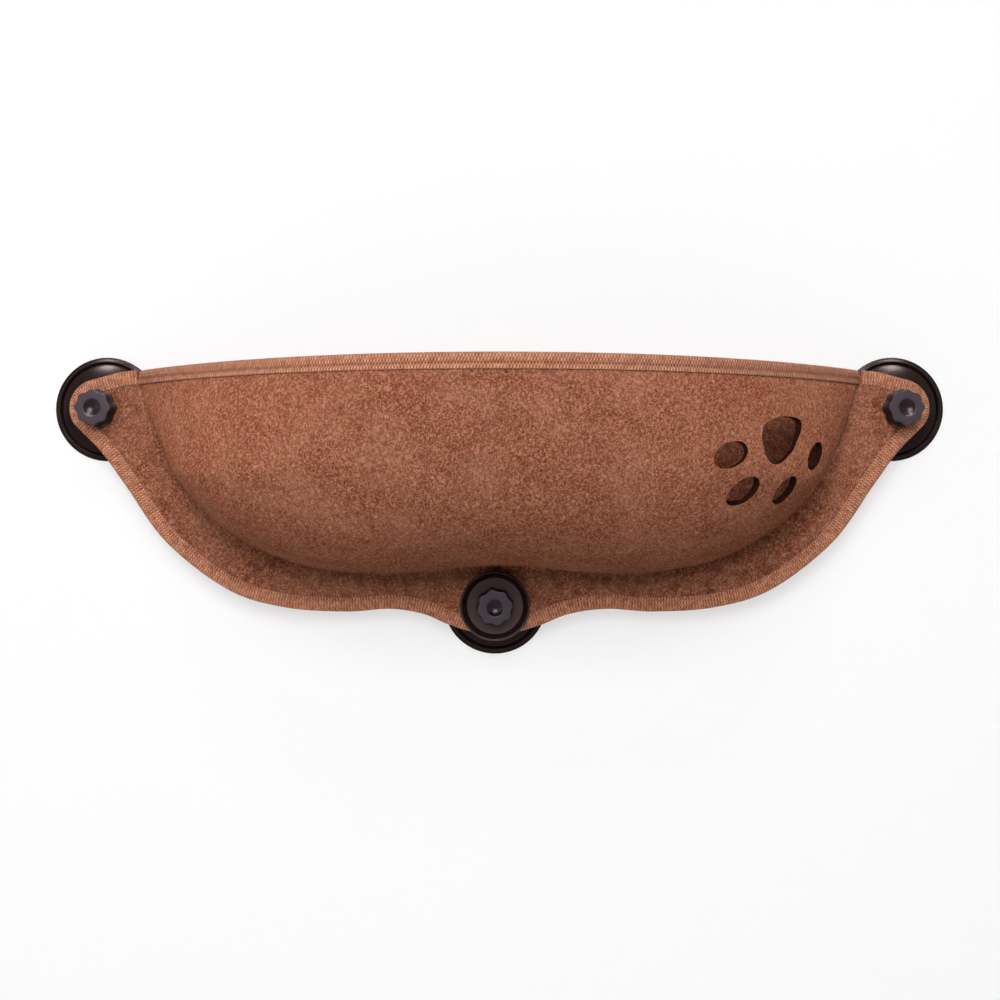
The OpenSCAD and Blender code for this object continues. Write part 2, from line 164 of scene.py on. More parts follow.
def filleted(corners, steps):
    # a polyline [place, place, radius] with each corner swapped for a short
    # curve (1-t)^2 a + 2 t (1-t) corner + t^2 b between points at its radius,
    # or nearly half the way to the next corner where that is nearer
    most = 0.48
    p = np.asarray(corners, float)
    spot, reach = p[:, :-1], p[:, -1:]
    last, after = np.roll(spot, 1, axis=0), np.roll(spot, -1, axis=0)
    last[0], after[-1] = spot[0], spot[-1]
    longBack, longOn = (np.linalg.norm(x - spot, axis=1, keepdims=True) for x in (last, after))
    a = spot + unit(last - spot) * np.minimum(reach, longBack * most)
    b = spot + unit(after - spot) * np.minimum(reach, longOn * most)
    t = np.linspace(0, 1, steps)[None, :, None]
    curve = (1 - t) ** 2 * a[:, None] + 2 * t * (1 - t) * spot[:, None] + t**2 * b[:, None]
    line = curve.reshape(-1, spot.shape[1])
    apart = np.linalg.norm(np.diff(line, axis=0), axis=1) > 1e-6
    return line[np.concatenate([[True], apart])]


def lengthsAlong(line, share=1):
    # how far along a polyline each point is, with its axes counted by share
    return np.concatenate([[0], np.cumsum(np.linalg.norm(np.diff(line, axis=0) * share, axis=1))])


def resampled(line, count):
    # points evenly spaced along a polyline
    along = lengthsAlong(line)
    at = np.linspace(0, along[-1], count)
    return np.stack([np.interp(at, along, line[:, k]) for k in range(line.shape[1])], axis=1)


def splined(points, steps):
    # 0.5 (2b + (c-a)t + (2a-5b+4c-d)t^2 + (3b-a-3c+d)t^3) between b and c
    a, b, c, d = (points[k : len(points) - 3 + k, None, :] for k in range(4))
    t = (np.arange(steps) / steps)[None, :, None]
    curve = 2 * b + (c - a) * t + (2 * a - 5 * b + 4 * c - d) * t**2
    return (0.5 * (curve + (3 * b - a - 3 * c + d) * t**3)).reshape(-1, points.shape[1])


def podFill(x, s):
    # how far out: sqrt(1 - s^3) (1 - (x / w)^p)^q, with w the slice's half
    # width at share s of the height, and p and q turning from 2, 1 below the rim
    b = np.minimum(1, s / pod["blendShare"])
    p = 2 + (pod["lowPlanPower"] - 2) * b
    q = 1 + (pod["lowEdgePower"] - 1) * b
    w = sliceWidth(s)
    ratio = np.where(w > 0, np.minimum(1, x / np.maximum(w, 1e-9)), 1)
    depth = np.sqrt(np.clip(1 - s ** pod["bellyPower"], 0, None))
    return depth * np.clip(1 - ratio**p, 0, None) ** q


def sliceWidth(s):
    # half width at share s of the height: (1 - s^sidePower)^(1 / cornerPower)
    return np.clip(1 - s ** pod["sidePower"], 0, None) ** (1 / pod["cornerPower"])


def podSkin(x, drop, inset):
    # the pod's face at a place across and a drop below the rim
    x, drop = np.broadcast_arrays(np.asarray(x, float), np.asarray(drop, float))
    s = np.clip(drop / (pod["height"] - inset), 0, 1)
    share = np.minimum(1, np.abs(x) / (pod["halfWidth"] - inset))
    dent = pod["dentHeight"] * np.exp(-((share * pod["halfWidth"] / pod["dentReach"]) ** 2)) * s**2
    up = pod["rimRise"] + pod["rimArch"] * (1 - share**2) * (1 - s) - drop + dent
    out = felt["frontAt"] - inset + pod["out"] * podFill(share, s)
    return np.stack([x, up, out], axis=-1)


def rootAt(phi, inset):
    # where the pod meets the flange: (x/a)^cornerPower + (drop/h)^sidePower = 1
    cx, cy = np.sin(np.radians(phi)), np.cos(np.radians(phi))
    m, n, r = pod["cornerPower"], pod["sidePower"], np.ones_like(cx)
    for _ in range(24):
        g = (cx * r) ** m + (cy * r) ** n - 1
        r = r - g / (m * cx**m * r ** (m - 1) + n * cy**n * r ** (n - 1))
    return (pod["halfWidth"] - inset) * cx * r, (pod["height"] - inset) * cy * r


def feltOutline(tabSteps, spanSteps):
    # right half from the mouth's corner, then the left half in reverse, with
    # the angle of the root that each point belongs to
    r, upper = felt["tabRadius"], felt["upperX"]
    phi = np.array(felt["marginAngles"], float)
    spots = [podSkin(*rootAt(phi + k, 0), 0)[:, :2] for k in (0, 1, -1)]
    way = unit(spots[1] - spots[2])
    share = np.array(felt["marginShares"])[:, None] * felt["flangeWidth"]
    margins = spots[0] + share * np.stack([way[:, 1], -way[:, 0]], axis=1)
    swell = np.array(felt["swellShares"], float) * [r, -r] + [0, felt["lowerUp"]]
    turn = np.radians(np.linspace(felt["tabFrom"], felt["tabTo"], felt["tabPoints"]))
    tab = np.stack([upper + r * np.cos(turn), r * np.sin(turn)], axis=1)
    run = np.concatenate([tab[-2:], margins, swell, swell[-2:-1] * [-1, 1]])
    corner = np.array([pod["halfWidth"] + felt["cornerPast"], pod["rimRise"]])
    shoulder = np.array([pod["halfWidth"] + felt["shoulderPast"], felt["shoulderRise"] * pod["rimRise"]])
    fine = np.radians(np.linspace(felt["tabFrom"], felt["tabTo"], tabSteps, endpoint=False))
    arc = np.stack([upper + r * np.cos(fine), r * np.sin(fine)], axis=1)
    t = np.linspace(0, 1, felt["straightSteps"], endpoint=False)[:, None]
    curve = splined(run, spanSteps)
    half = [corner + (shoulder - corner) * t, shoulder + (tab[0] - shoulder) * t, arc, curve, swell[-1:]]
    # each point's station: 2 straight lines, 8 round the tab, 2 to each span of the curve
    tabEnd, spans = 2 + 8, 2 * len(curve) // spanSteps
    index = [t[:, 0], 1 + t[:, 0], 2 + 8 * np.arange(tabSteps) / tabSteps]
    index += [tabEnd + 2 * np.arange(len(curve)) / spanSteps, [tabEnd + spans]]
    half, index = np.concatenate(half), np.concatenate(index)
    steep, rest = pod["mouthAngle"] - pod["tabAngle"], pod["tabAngle"]
    phi = np.where(index <= tabEnd, pod["mouthAngle"] - steep * index / tabEnd,
                   rest * (1 - (index - tabEnd) / spans))
    line = np.concatenate([half, half[-2::-1] * [-1, 1]])
    line[:, 0] += felt["lowerX"] * np.exp(-((line[:, 0] / felt["swellReach"]) ** 4))
    side = np.concatenate([np.ones(len(half)), -np.ones(len(half) - 1)])
    return line, np.concatenate([phi, phi[-2::-1]]), side


paw = {
    "toeLong": 30,
    "toeWide": 19,
    "toeSteps": 48,
    # each toe: across and down as shares of the pod, turn, and shares of length and width
    "toes": [[0.558, 0.418, 18, 1.03, 0.93], [0.595, 0.572, 27, 0.9, 1.22],
             [0.715, 0.57, -20, 0.87, 1.2], [0.807, 0.42, 24, 1.05, 0.96]],
    "padLong": 50,
    "padWide": 35,
    "padAt": [0.697, 0.349],
    "padSteps": 5,
    "level": 0.3,
    "cutFrom": -8,
    "cutTo": 12,
    "pad": [[-0.44, 0.0], [-0.40, 0.18], [-0.29, 0.34], [-0.06, 0.44], [0.2, 0.48], [0.48, 0.46],
            [0.61, 0.38], [0.56, 0.2], [0.44, 0.01], [0.26, -0.24], [-0.02, -0.46], [-0.23, -0.51],
            [-0.37, -0.39], [-0.42, -0.2]],
}


def cutFrame(acrossShare, dropShare):
    # on the pod's middle skin: place, and across, up and the nearly level way out
    x, drop = pod["halfWidth"] * acrossShare, pod["height"] * dropShare
    middle, d = felt["frontThick"] / 2, 0.5
    spot = podSkin(x, drop, middle)
    right = podSkin(x + d, drop, middle) - podSkin(x - d, drop, middle)
    up = podSkin(x, drop - d, middle) - podSkin(x, drop + d, middle)
    n = unit(unit(np.cross(right, up)) * [1, paw["level"], 1])
    across = unit(np.array([n[2], 0, -n[0]]))
    return spot, across, np.cross(n, across), n


def prism(outline, spot, across, up, way, low, high):
    # a closed outline carried from low to high along a direction
    ring = spot + outline[:, :1] * across + outline[:, 1:] * up
    ring = np.concatenate([ring, ring[:1]])
    middle = np.broadcast_to(ring[:-1].mean(0), ring.shape)
    return toRow(np.stack([middle + low * way, ring + low * way, ring + high * way, middle + high * way]))


def shadeCutWalls(piece):
    # the faces that a cutter left take the piece's second material, which paints shade onto the holes' cut
    # walls
    marks = np.empty(len(piece.data.polygons))
    piece.data.attributes["cut"].data.foreach_get("value", marks)
    piece.data.materials.append(finish["feltCutShade"])
    piece.data.polygons.foreach_set("material_index", (marks > 0.5).astype(np.int32))


def markCut(piece, value):
    # a number on each face: 1 on a cutter, 0 on what it cuts
    mesh = piece.data
    mark = mesh.attributes.new("cut", "FLOAT", "FACE")
    mark.data.foreach_set("value", np.full(len(mesh.polygons), float(value)))


def cutBy(piece, cutters):
    # the faces that the cut leaves take the cutter's mark
    tool = weldPiece("cutter", cutters)
    markCut(piece, 0)
    markCut(tool, 1)
    change = piece.modifiers.new("cut", "BOOLEAN")
    change.operation, change.solver, change.object = "DIFFERENCE", "EXACT", tool
    bpy.context.view_layer.update()
    shown = bpy.context.evaluated_depsgraph_get()
    cut = bpy.data.meshes.new_from_object(piece.evaluated_get(shown))
    piece.modifiers.clear()
    old, piece.data = piece.data, cut
    bpy.data.meshes.remove(old)
    bpy.data.objects.remove(tool)
    cut.name = piece.name
    return piece


def pawCutters():
    # four ellipses and a rounded pad, each carried through the pod's wall
    cutters, reach = [], (paw["cutFrom"], paw["cutTo"])
    t = np.linspace(0, 2 * math.pi, paw["toeSteps"], endpoint=False)
    for across, drop, turn, longShare, wideShare in paw["toes"]:
        # ellipse of the toe's length and width, turned
        a, b = paw["toeLong"] / 2 * longShare * np.cos(t), paw["toeWide"] / 2 * wideShare * np.sin(t)
        c, s = math.cos(math.radians(turn)), math.sin(math.radians(turn))
        toe = np.stack([a * c - b * s, a * s + b * c], axis=1)
        cutters.append(prism(toe, *cutFrame(across, drop), *reach))
    ring = np.array(paw["pad"]) * [paw["padLong"], paw["padWide"]]
    outline = splined(np.concatenate([ring, ring[:3]]), paw["padSteps"])
    cutters.append(prism(outline, *cutFrame(*paw["padAt"]), *reach))
    return cutters


def studCutters(low, high):
    # round the three studs, from one height out to another
    t = np.linspace(0, 2 * math.pi, felt["holeSteps"], endpoint=False)
    ring = felt["holeRadius"] * np.stack([np.cos(t), np.sin(t)], axis=1)
    x, up, out = np.eye(3)
    spots = [[felt["upperX"], 0, 0], [-felt["upperX"], 0, 0], [felt["lowerX"], felt["lowerUp"], 0]]
    return [prism(ring, np.array(spot, float), x, up, out, low, high) for spot in spots]


# Materials

def startMaterial(name):
    material = bpy.data.materials.new(name)
    material.use_nodes = True
    return material, material.node_tree, material.node_tree.nodes["Principled BSDF"]


def addNode(tree, kind, **settings):
    node = tree.nodes.new("ShaderNode" + kind)
    for setting, value in settings.items():
        setattr(node, setting, value)
    return node


def fill(tree, socket, value):
    # a socket takes another's output, a colour as a tuple, or a list or number
    if isinstance(value, bpy.types.NodeSocket):
        tree.links.new(value, socket)
    else:
        socket.default_value = (*value, 1) if isinstance(value, tuple) else value


def fillAll(tree, node, values):
    for name, value in values.items():
        fill(tree, node.inputs[name], value)


def objectSpot(tree):
    return addNode(tree, "TexCoord").outputs["Object"]


def weaveParts(tree):
    # along and across, from the piece's own UV map
    split = addNode(tree, "SeparateXYZ")
    fill(tree, split.inputs[0], addNode(tree, "UVMap", uv_map="weave").outputs["UV"])
    return split.outputs[0], split.outputs[1]


def noiseOn(tree, vector, scale, detail=3, roughness=0.55, distortion=0.0):
    noise = addNode(tree, "TexNoise")
    fillAll(tree, noise, {"Vector": vector, "Scale": scale, "Detail": detail,
                          "Roughness": roughness, "Distortion": distortion})
    return noise.outputs["Fac"]


def joined(tree, node, *values):
    # the node's inputs filled in order
    for socket, value in zip(node.inputs, values):
        fill(tree, socket, value)
    return node.outputs[0]


def mathOn(tree, operation, *values):
    return joined(tree, addNode(tree, "Math", operation=operation), *values)


def shareOn(tree, value, start, slope):
    # (value - start) x slope, kept between 0 and 1
    share = mathOn(tree, "MULTIPLY", mathOn(tree, "SUBTRACT", value, start), slope)
    return mathOn(tree, "MINIMUM", mathOn(tree, "MAXIMUM", share, 0), 1)


def rampOn(tree, value, stops):
    ramp = addNode(tree, "ValToRGB")
    elements = ramp.color_ramp.elements
    while len(elements) < len(stops):
        elements.new(0.5)
    for element, (at, colour) in zip(elements, stops):
        element.position = at
        element.color = (*colour, 1)
    fill(tree, ramp.inputs["Fac"], value)
    return ramp.outputs["Color"]


def mixOn(tree, share, a, b):
    mix = addNode(tree, "Mix", data_type="RGBA")
    fillAll(tree, mix, {"Factor": share, "A": a, "B": b})
    return mix.outputs["Result"]


def bumpOn(tree, shader, height, strength, distance):
    bump = addNode(tree, "Bump")
    fillAll(tree, bump, {"Strength": strength, "Distance": distance, "Height": height})
    fill(tree, shader.inputs["Normal"], bump.outputs["Normal"])


def srgb(r, g, b):
    # a colour as a screen shows it, made linear
    c = np.array([r, g, b]) / 255
    return tuple(float(x) for x in np.where(c <= 0.04045, c / 12.92, ((c + 0.055) / 1.055) ** 2.4))


feltLook = {
    "deep": srgb(118, 68, 49),
    "ground": srgb(163, 105, 78),
    "grainScale": 620,
    "grainStops": (0.36, 0.58),
    "grainHigh": 0.6,
    # each layer: its tone, how it is turned, its size in mm, and where it breaks
    "curls": [
        (srgb(122, 69, 50), (20, 75, 10), (1.5, 1.5, 3.2), 0.40),
        (srgb(174, 114, 87), (80, 15, 50), (1.9, 1.9, 5.0), 0.42),
        (srgb(149, 105, 86), (-35, 60, 100), (1.9, 1.9, 4.4), 0.53),
        (srgb(181, 119, 91), (60, -40, 150), (1.9, 1.9, 5.4), 0.46),
        (srgb(192, 130, 101), (-70, 85, 30), (1.9, 1.9, 5.8), 0.52),
        (srgb(120, 68, 49), (130, 30, 20), (1.5, 1.5, 3.5), 0.45),
        (srgb(107, 59, 42), (10, -60, 70), (1.5, 1.5, 3.8), 0.50),
    ],
    "bendScale": 300,
    "bend": 0.0034,
    "layerShift": (0.31, 0.17, 0.23),
    "layerRise": 0.04,
    "lineWide": 0.09,
    "gateScale": 0.9,
    "gateSlope": 9,
    "toneFrom": 0.05,
    "toneSlope": 2.0,
    "tuft": srgb(90, 46, 31),
    "tuftScale": 115,
    "tuftFrom": 0.46,
    "tuftSlope": 5,
    "tuftShare": 0.16,
    # added dark on the flange and below it: partly coarser felt, partly painted shade under the pod
    "tuftAndShadeOnFlange": 0.30,
    "tuftAndShadeBelow": 0.9,
    # in metres, and how fast the share grows from there
    "flangeAt": -0.039,
    "flangeSlope": 300,
    "belowAt": -0.09,
    "belowSlope": -25,
    "pale": srgb(202, 148, 120),
    "paleScale": 24,
    "paleFrom": 0.42,
    "paleSlope": 4,
    "paleShare": 0.16,
    "sheen": 0.24,
    "sheenTint": srgb(196, 108, 74),
    "relief": 0.0005,
}


def feltMaterial():
    # curls: in each layer the thin line where a stretched, bent noise is near a
    # half, broken up by a second noise, so that they lie across each other
    look = feltLook
    material, tree, shader = startMaterial("felt")
    spot = objectSpot(tree)
    bend = addNode(tree, "TexNoise")
    fillAll(tree, bend, {"Vector": spot, "Scale": look["bendScale"], "Detail": 1})
    bent = joined(tree, addNode(tree, "VectorMath", operation="MULTIPLY_ADD"),
                  bend.outputs["Color"], [look["bend"]] * 3, spot)
    grain = noiseOn(tree, bent, look["grainScale"], 2, 0.6)
    colour = rampOn(tree, grain, list(zip(look["grainStops"], (look["deep"], look["ground"]))))
    height = mathOn(tree, "MULTIPLY", grain, look["grainHigh"])
    for k, (tone, turn, size, broken) in enumerate(look["curls"]):
        laid = addNode(tree, "Mapping", vector_type="TEXTURE")
        fillAll(tree, laid, {"Vector": bent, "Location": [shift * k for shift in look["layerShift"]],
                             "Rotation": [math.radians(t) for t in turn], "Scale": [t / 1000 for t in size]})
        wave = noiseOn(tree, laid.outputs[0], 1, 1, 0.5)
        away = mathOn(tree, "ABSOLUTE", mathOn(tree, "SUBTRACT", wave, 0.5))
        line = mathOn(tree, "MULTIPLY_ADD", away, -1 / look["lineWide"], 1)
        torn = noiseOn(tree, laid.outputs[0], look["gateScale"], 0, 0.5, 0.3)
        gate = shareOn(tree, torn, broken, look["gateSlope"])
        line = mathOn(tree, "MULTIPLY", mathOn(tree, "MAXIMUM", line, 0), gate)
        colour = mixOn(tree, shareOn(tree, line, look["toneFrom"], look["toneSlope"]), colour, tone)
        height = mathOn(tree, "MAXIMUM", height, mathOn(tree, "ADD", line, look["layerRise"] * k))
    # dark tufts all over, more of them on the flange and most below, and paler patches; the extra dark on the
    # flange and below is partly coarser felt and partly painted shade under the pod
    split = addNode(tree, "SeparateXYZ")
    fill(tree, split.inputs[0], spot)
    low = shareOn(tree, split.outputs[1], look["flangeAt"], look["flangeSlope"])
    below = shareOn(tree, split.outputs[2], look["belowAt"], look["belowSlope"])
    low = mathOn(tree, "MULTIPLY", low, mathOn(tree, "MULTIPLY_ADD", below, look["tuftAndShadeBelow"], 1))
    tuft = noiseOn(tree, spot, look["tuftScale"], 3, 0.6, 0.6)
    tuft = shareOn(tree, tuft, look["tuftFrom"], look["tuftSlope"])
    most = mathOn(tree, "MULTIPLY_ADD", low, look["tuftAndShadeOnFlange"], look["tuftShare"])
    colour = mixOn(tree, mathOn(tree, "MULTIPLY", tuft, most), colour, look["tuft"])
    patch = noiseOn(tree, spot, look["paleScale"], 3, 0.6, 0.3)
    patch = shareOn(tree, patch, look["paleFrom"], look["paleSlope"])
    colour = mixOn(tree, mathOn(tree, "MULTIPLY", patch, look["paleShare"]), colour, look["pale"])
    fillAll(tree, shader, {
        "Base Color": colour, "Roughness": 0.95, "Diffuse Roughness": 1, "Specular IOR Level": 0,
        "Sheen Weight": look["sheen"], "Sheen Roughness": 0.5, "Sheen Tint": look["sheenTint"]})
    bumpOn(tree, shader, height, 0.8, look["relief"])
    return material


cutWallShadeLook = {
    "dark": srgb(26, 13, 9),
    "light": srgb(58, 31, 22),
    "scale": 900,
    "relief": 0.0003,
}


def cutWallShadeMaterial():
    # the holes' cut walls, dark and dull: painted shade
    look = cutWallShadeLook
    material, tree, shader = startMaterial("feltCutShade")
    tone = noiseOn(tree, objectSpot(tree), look["scale"], 3, 0.6)
    colour = rampOn(tree, tone, [(0.35, look["dark"]), (0.7, look["light"])])
    fillAll(tree, shader, {"Base Color": colour, "Roughness": 1, "Specular IOR Level": 0})
    bumpOn(tree, shader, tone, 0.6, look["relief"])
    return material


tapeLook = {
    # ribs every pitch mm and nubs every row mm, which sway off their lines
    "rimTape": {
        "dark": srgb(86, 46, 32),
        "body": srgb(166, 108, 82),
        "light": srgb(224, 166, 135),
        "pitch": 2.2,
        "row": 2.8,
        "wander": 0.5,
        "sway": 2.2,
    },
    "flangeTape": {
        "dark": srgb(102, 59, 41),
        "body": srgb(163, 105, 79),
        "light": srgb(208, 151, 122),
        "pitch": 2.3,
        "row": 3.4,
        "wander": 0.75,
        "sway": 4.5,
    },
}
weaveLook = {
    "wanderScale": 260,
    "fineScale": 2600,
    "acrossSway": 1.3,
    "nub": 0.3,
    "rib": 0.2,
    "fuzz": 0.25,
    "contrast": 0.62,
    "tapeShadeDark": 0.25,
    "stops": (0.08, 0.42, 0.76),
    "sheenTint": srgb(214, 132, 96),
    "relief": 0.0005,
}


def tapeMaterial(name):
    # ribs across the tape, cos(2 pi along / pitch), each broken into nubs by
    # cos(2 pi across / row), with painted shade down in the stitched groove and along the rim tape's lower
    # edges; pitch and row are in mm
    look, weave = tapeLook[name], weaveLook
    material, tree, shader = startMaterial(name)
    along, across = weaveParts(tree)
    spot = objectSpot(tree)
    wander = noiseOn(tree, spot, weave["wanderScale"], 2, 0.6)
    fine = noiseOn(tree, spot, weave["fineScale"], 2, 0.6)
    waves = []
    for way, pitch, sway in ((along, look["pitch"], look["sway"]),
                             (across, look["row"], look["sway"] * weave["acrossSway"])):
        phase = mathOn(tree, "MULTIPLY_ADD", way, 2000 * math.pi / pitch,
                       mathOn(tree, "MULTIPLY", wander, sway))
        waves.append(mathOn(tree, "COSINE", phase))
    nub = mathOn(tree, "MULTIPLY", *waves)
    height = mathOn(tree, "MULTIPLY_ADD", nub, weave["nub"],
                    mathOn(tree, "MULTIPLY_ADD", waves[0], weave["rib"], 0.5))
    height = mathOn(tree, "MULTIPLY_ADD", fine, weave["fuzz"], height)
    tapeShade = addNode(tree, "Attribute", attribute_name="tapeShade").outputs["Fac"]
    tone = mathOn(tree, "MULTIPLY_ADD", height, weave["contrast"], 0.05 - look["wander"] / 2)
    tone = mathOn(tree, "MULTIPLY_ADD", wander, look["wander"], tone)
    tone = mathOn(tree, "MULTIPLY_ADD", tapeShade, -weave["tapeShadeDark"], tone)
    colour = rampOn(tree, tone, list(zip(weave["stops"], (look["dark"], look["body"], look["light"]))))
    fillAll(tree, shader, {
        "Base Color": colour, "Roughness": 0.85, "Specular IOR Level": 0.08,
        "Sheen Weight": 0.08, "Sheen Tint": weave["sheenTint"]})
    bumpOn(tree, shader, height, 0.9, weave["relief"])
    return material


threadLook = {
    "scale": 1500,
    "bend": 1.0,
    "relief": 0.0001,
}


def threadMaterial(name, dark, light):
    # twisted thread: a fine, bent noise between two tones
    material, tree, shader = startMaterial(name)
    tone = noiseOn(tree, objectSpot(tree), threadLook["scale"], 2, 0.5, threadLook["bend"])
    fillAll(tree, shader, {"Base Color": rampOn(tree, tone, [(0.3, dark), (0.7, light)]), "Roughness": 0.6})
    bumpOn(tree, shader, tone, 0.5, threadLook["relief"])
    return material


hardLook = {
    "cloudScale": 40,
    "grainScale": 2400,
    "worn": 0.08,
    "relief": 0.00002,
    "plasticTint": srgb(255, 222, 222),
}


def hardMaterial(name, dark, light, roughness, metallic=0.0, shine=0.5):
    # moulded or turned: a little uneven in colour and gloss, fine grain
    look = hardLook
    material, tree, shader = startMaterial(name)
    spot = objectSpot(tree)
    cloud = noiseOn(tree, spot, look["cloudScale"], 3, 0.6)
    fine = noiseOn(tree, spot, look["grainScale"], 3, 0.6)
    tone = mathOn(tree, "MULTIPLY_ADD", fine, 0.3, mathOn(tree, "MULTIPLY", cloud, 0.7))
    fillAll(tree, shader, {
        "Base Color": rampOn(tree, tone, [(0.3, dark), (0.7, light)]),
        "Roughness": mathOn(tree, "MULTIPLY_ADD", cloud, look["worn"], roughness - look["worn"] / 2),
        "Metallic": metallic, "Specular IOR Level": shine})
    if not metallic:
        fill(tree, shader.inputs["Specular Tint"], look["plasticTint"])
    bumpOn(tree, shader, fine, 0.35, look["relief"])
    return material


knobLook = {
    # side is the plastic's own colour; face is a painted reflection of the lamps on the same plastic
    "side": srgb(12, 7, 8),
    "face": srgb(57, 51, 58),
    # heights on the knob, in metres
    "litFaceFrom": 0.0193,
    "satinFrom": 0.0168,
    "fade": 0.0006,
    "dull": 0.66,
    "satin": 0.20,
    "litFaceShare": 0.9,
    "cloudScale": 90,
    "cloudShare": 0.12,
    "grainScale": 2400,
    "grainShare": 0.08,
    "relief": 0.00002,
    "shine": 0.25,
    "tint": srgb(255, 222, 234),
}


def knobMaterial():
    # the smooth flat face is lighter than the sides, by height on the knob: painted reflection of the lamps
    # on one plastic
    look = knobLook
    material, tree, shader = startMaterial("knobPlastic")
    high = weaveParts(tree)[1]
    spot = objectSpot(tree)
    grain = noiseOn(tree, spot, look["grainScale"], 3, 0.6)
    cloud = noiseOn(tree, spot, look["cloudScale"], 2, 0.5)
    share = shareOn(tree, high, look["litFaceFrom"], 1 / look["fade"])
    tone = mathOn(tree, "MULTIPLY", share, look["litFaceShare"])
    tone = mathOn(tree, "MULTIPLY_ADD", cloud, look["cloudShare"], tone)
    # the bowl and the face are satin, the sides down from them duller
    down = shareOn(tree, high, look["satinFrom"], 1 / look["fade"])
    gloss = mathOn(tree, "MULTIPLY_ADD", down, look["satin"] - look["dull"], look["dull"])
    fillAll(tree, shader, {
        "Base Color": rampOn(tree, tone, [(0.05, look["side"]), (0.95, look["face"])]),
        "Roughness": mathOn(tree, "MULTIPLY_ADD", grain, look["grainShare"], gloss),
        "Specular IOR Level": look["shine"], "Specular Tint": look["tint"]})
    bumpOn(tree, shader, grain, 0.3, look["relief"])
    return material


finish = {
    "felt": feltMaterial(),
    "feltCutShade": cutWallShadeMaterial(),
    "rimTape": tapeMaterial("rimTape"),
    "flangeTape": tapeMaterial("flangeTape"),
    "thread": threadMaterial("thread", srgb(128, 76, 54), srgb(178, 118, 90)),
    "shadowGapThread": threadMaterial("shadowGapThread", srgb(52, 28, 20), srgb(92, 52, 38)),
    "rubber": hardMaterial("cupRubber", srgb(12, 5, 5), srgb(31, 16, 14), 0.27, shine=0.12),
    "knob": knobMaterial(),
    "disc": hardMaterial("discPlastic", srgb(26, 14, 13), srgb(36, 23, 22), 0.36, shine=0.32),
    "nub": threadMaterial("nubThread", srgb(138, 84, 61), srgb(196, 136, 107)),
    "steel": hardMaterial("steel", srgb(150, 152, 156), srgb(186, 188, 190), 0.3, 1.0),
    "brass": hardMaterial("brass", srgb(168, 132, 70), srgb(202, 168, 104), 0.28, 1.0),
}
print("materials: made", len(finish))


# Moulded front felt

shell = {
    "podRows": 70,
    "flangeRows": 12,
    "tabSteps": 24,
    "spanSteps": 14,
    "lump": 0.22,
    "shortest": 9,
    "longest": 34,
    "lumpFrom": 11,
    "lumpFade": 8,
    "rimCalm": 10,
    "dip": 0.45,
    "dipWide": 2,
    "tapeWidth": 10.4,
    "filletRows": 3,
    "filletPasses": 2,
    "pinch": 2.2,
    "pinchHigh": 11,
    "pinchFrom": 8,
    "pinchFade": 12,
    "pinchAcross": 0.45,
    "pinchCentre": 0.3,
    "joint": 0.05,
}


def softened(grid, at, reach, passes):
    # each pass moves rows near one row towards the mean of their neighbours
    weight = np.exp(-(((np.arange(len(grid)) - at) / reach) ** 4))[:, None, None]
    for _ in range(passes):
        mean = grid.copy()
        mean[1:-1] = (grid[:-2] + 2 * grid[1:-1] + grid[2:]) / 4
        grid = grid + weight * (mean - grid)
    return grid


def meridians(phi, side, inset, rows):
    # from the rim's edge down to the root, closer together near the root
    v = np.sin(np.linspace(0, math.pi / 2, rows + 1))[:, None]
    rootX, rootDrop = rootAt(phi, inset)
    s = pod["rimDrop"] / (pod["height"] - inset)
    rimX = (pod["halfWidth"] - inset) * sliceWidth(s) * np.sin(np.radians(phi))
    x = rimX + (rootX - rimX) * v
    drop = pod["rimDrop"] + (rootDrop - pod["rimDrop"]) * v
    grid = podSkin(x, drop, inset)
    grid[..., 0] *= side
    # the wall leans in over its last few millimetres, as pressed felt does
    centre = np.array([0, pod["rimRise"] - pod["height"] * shell["pinchCentre"]])
    inwards = unit((centre - grid[..., :2]) * [shell["pinchAcross"], 1])
    high = np.clip((grid[..., 2] - felt["frontAt"] + inset) / shell["pinchHigh"], 0, 1)
    fade = np.clip((pod["rimRise"] - shell["pinchFrom"] - grid[..., 1]) / shell["pinchFade"], 0, 1)
    grid[..., :2] += inwards * (shell["pinch"] * (1 - high) ** 2 * fade)[..., None]
    return grid


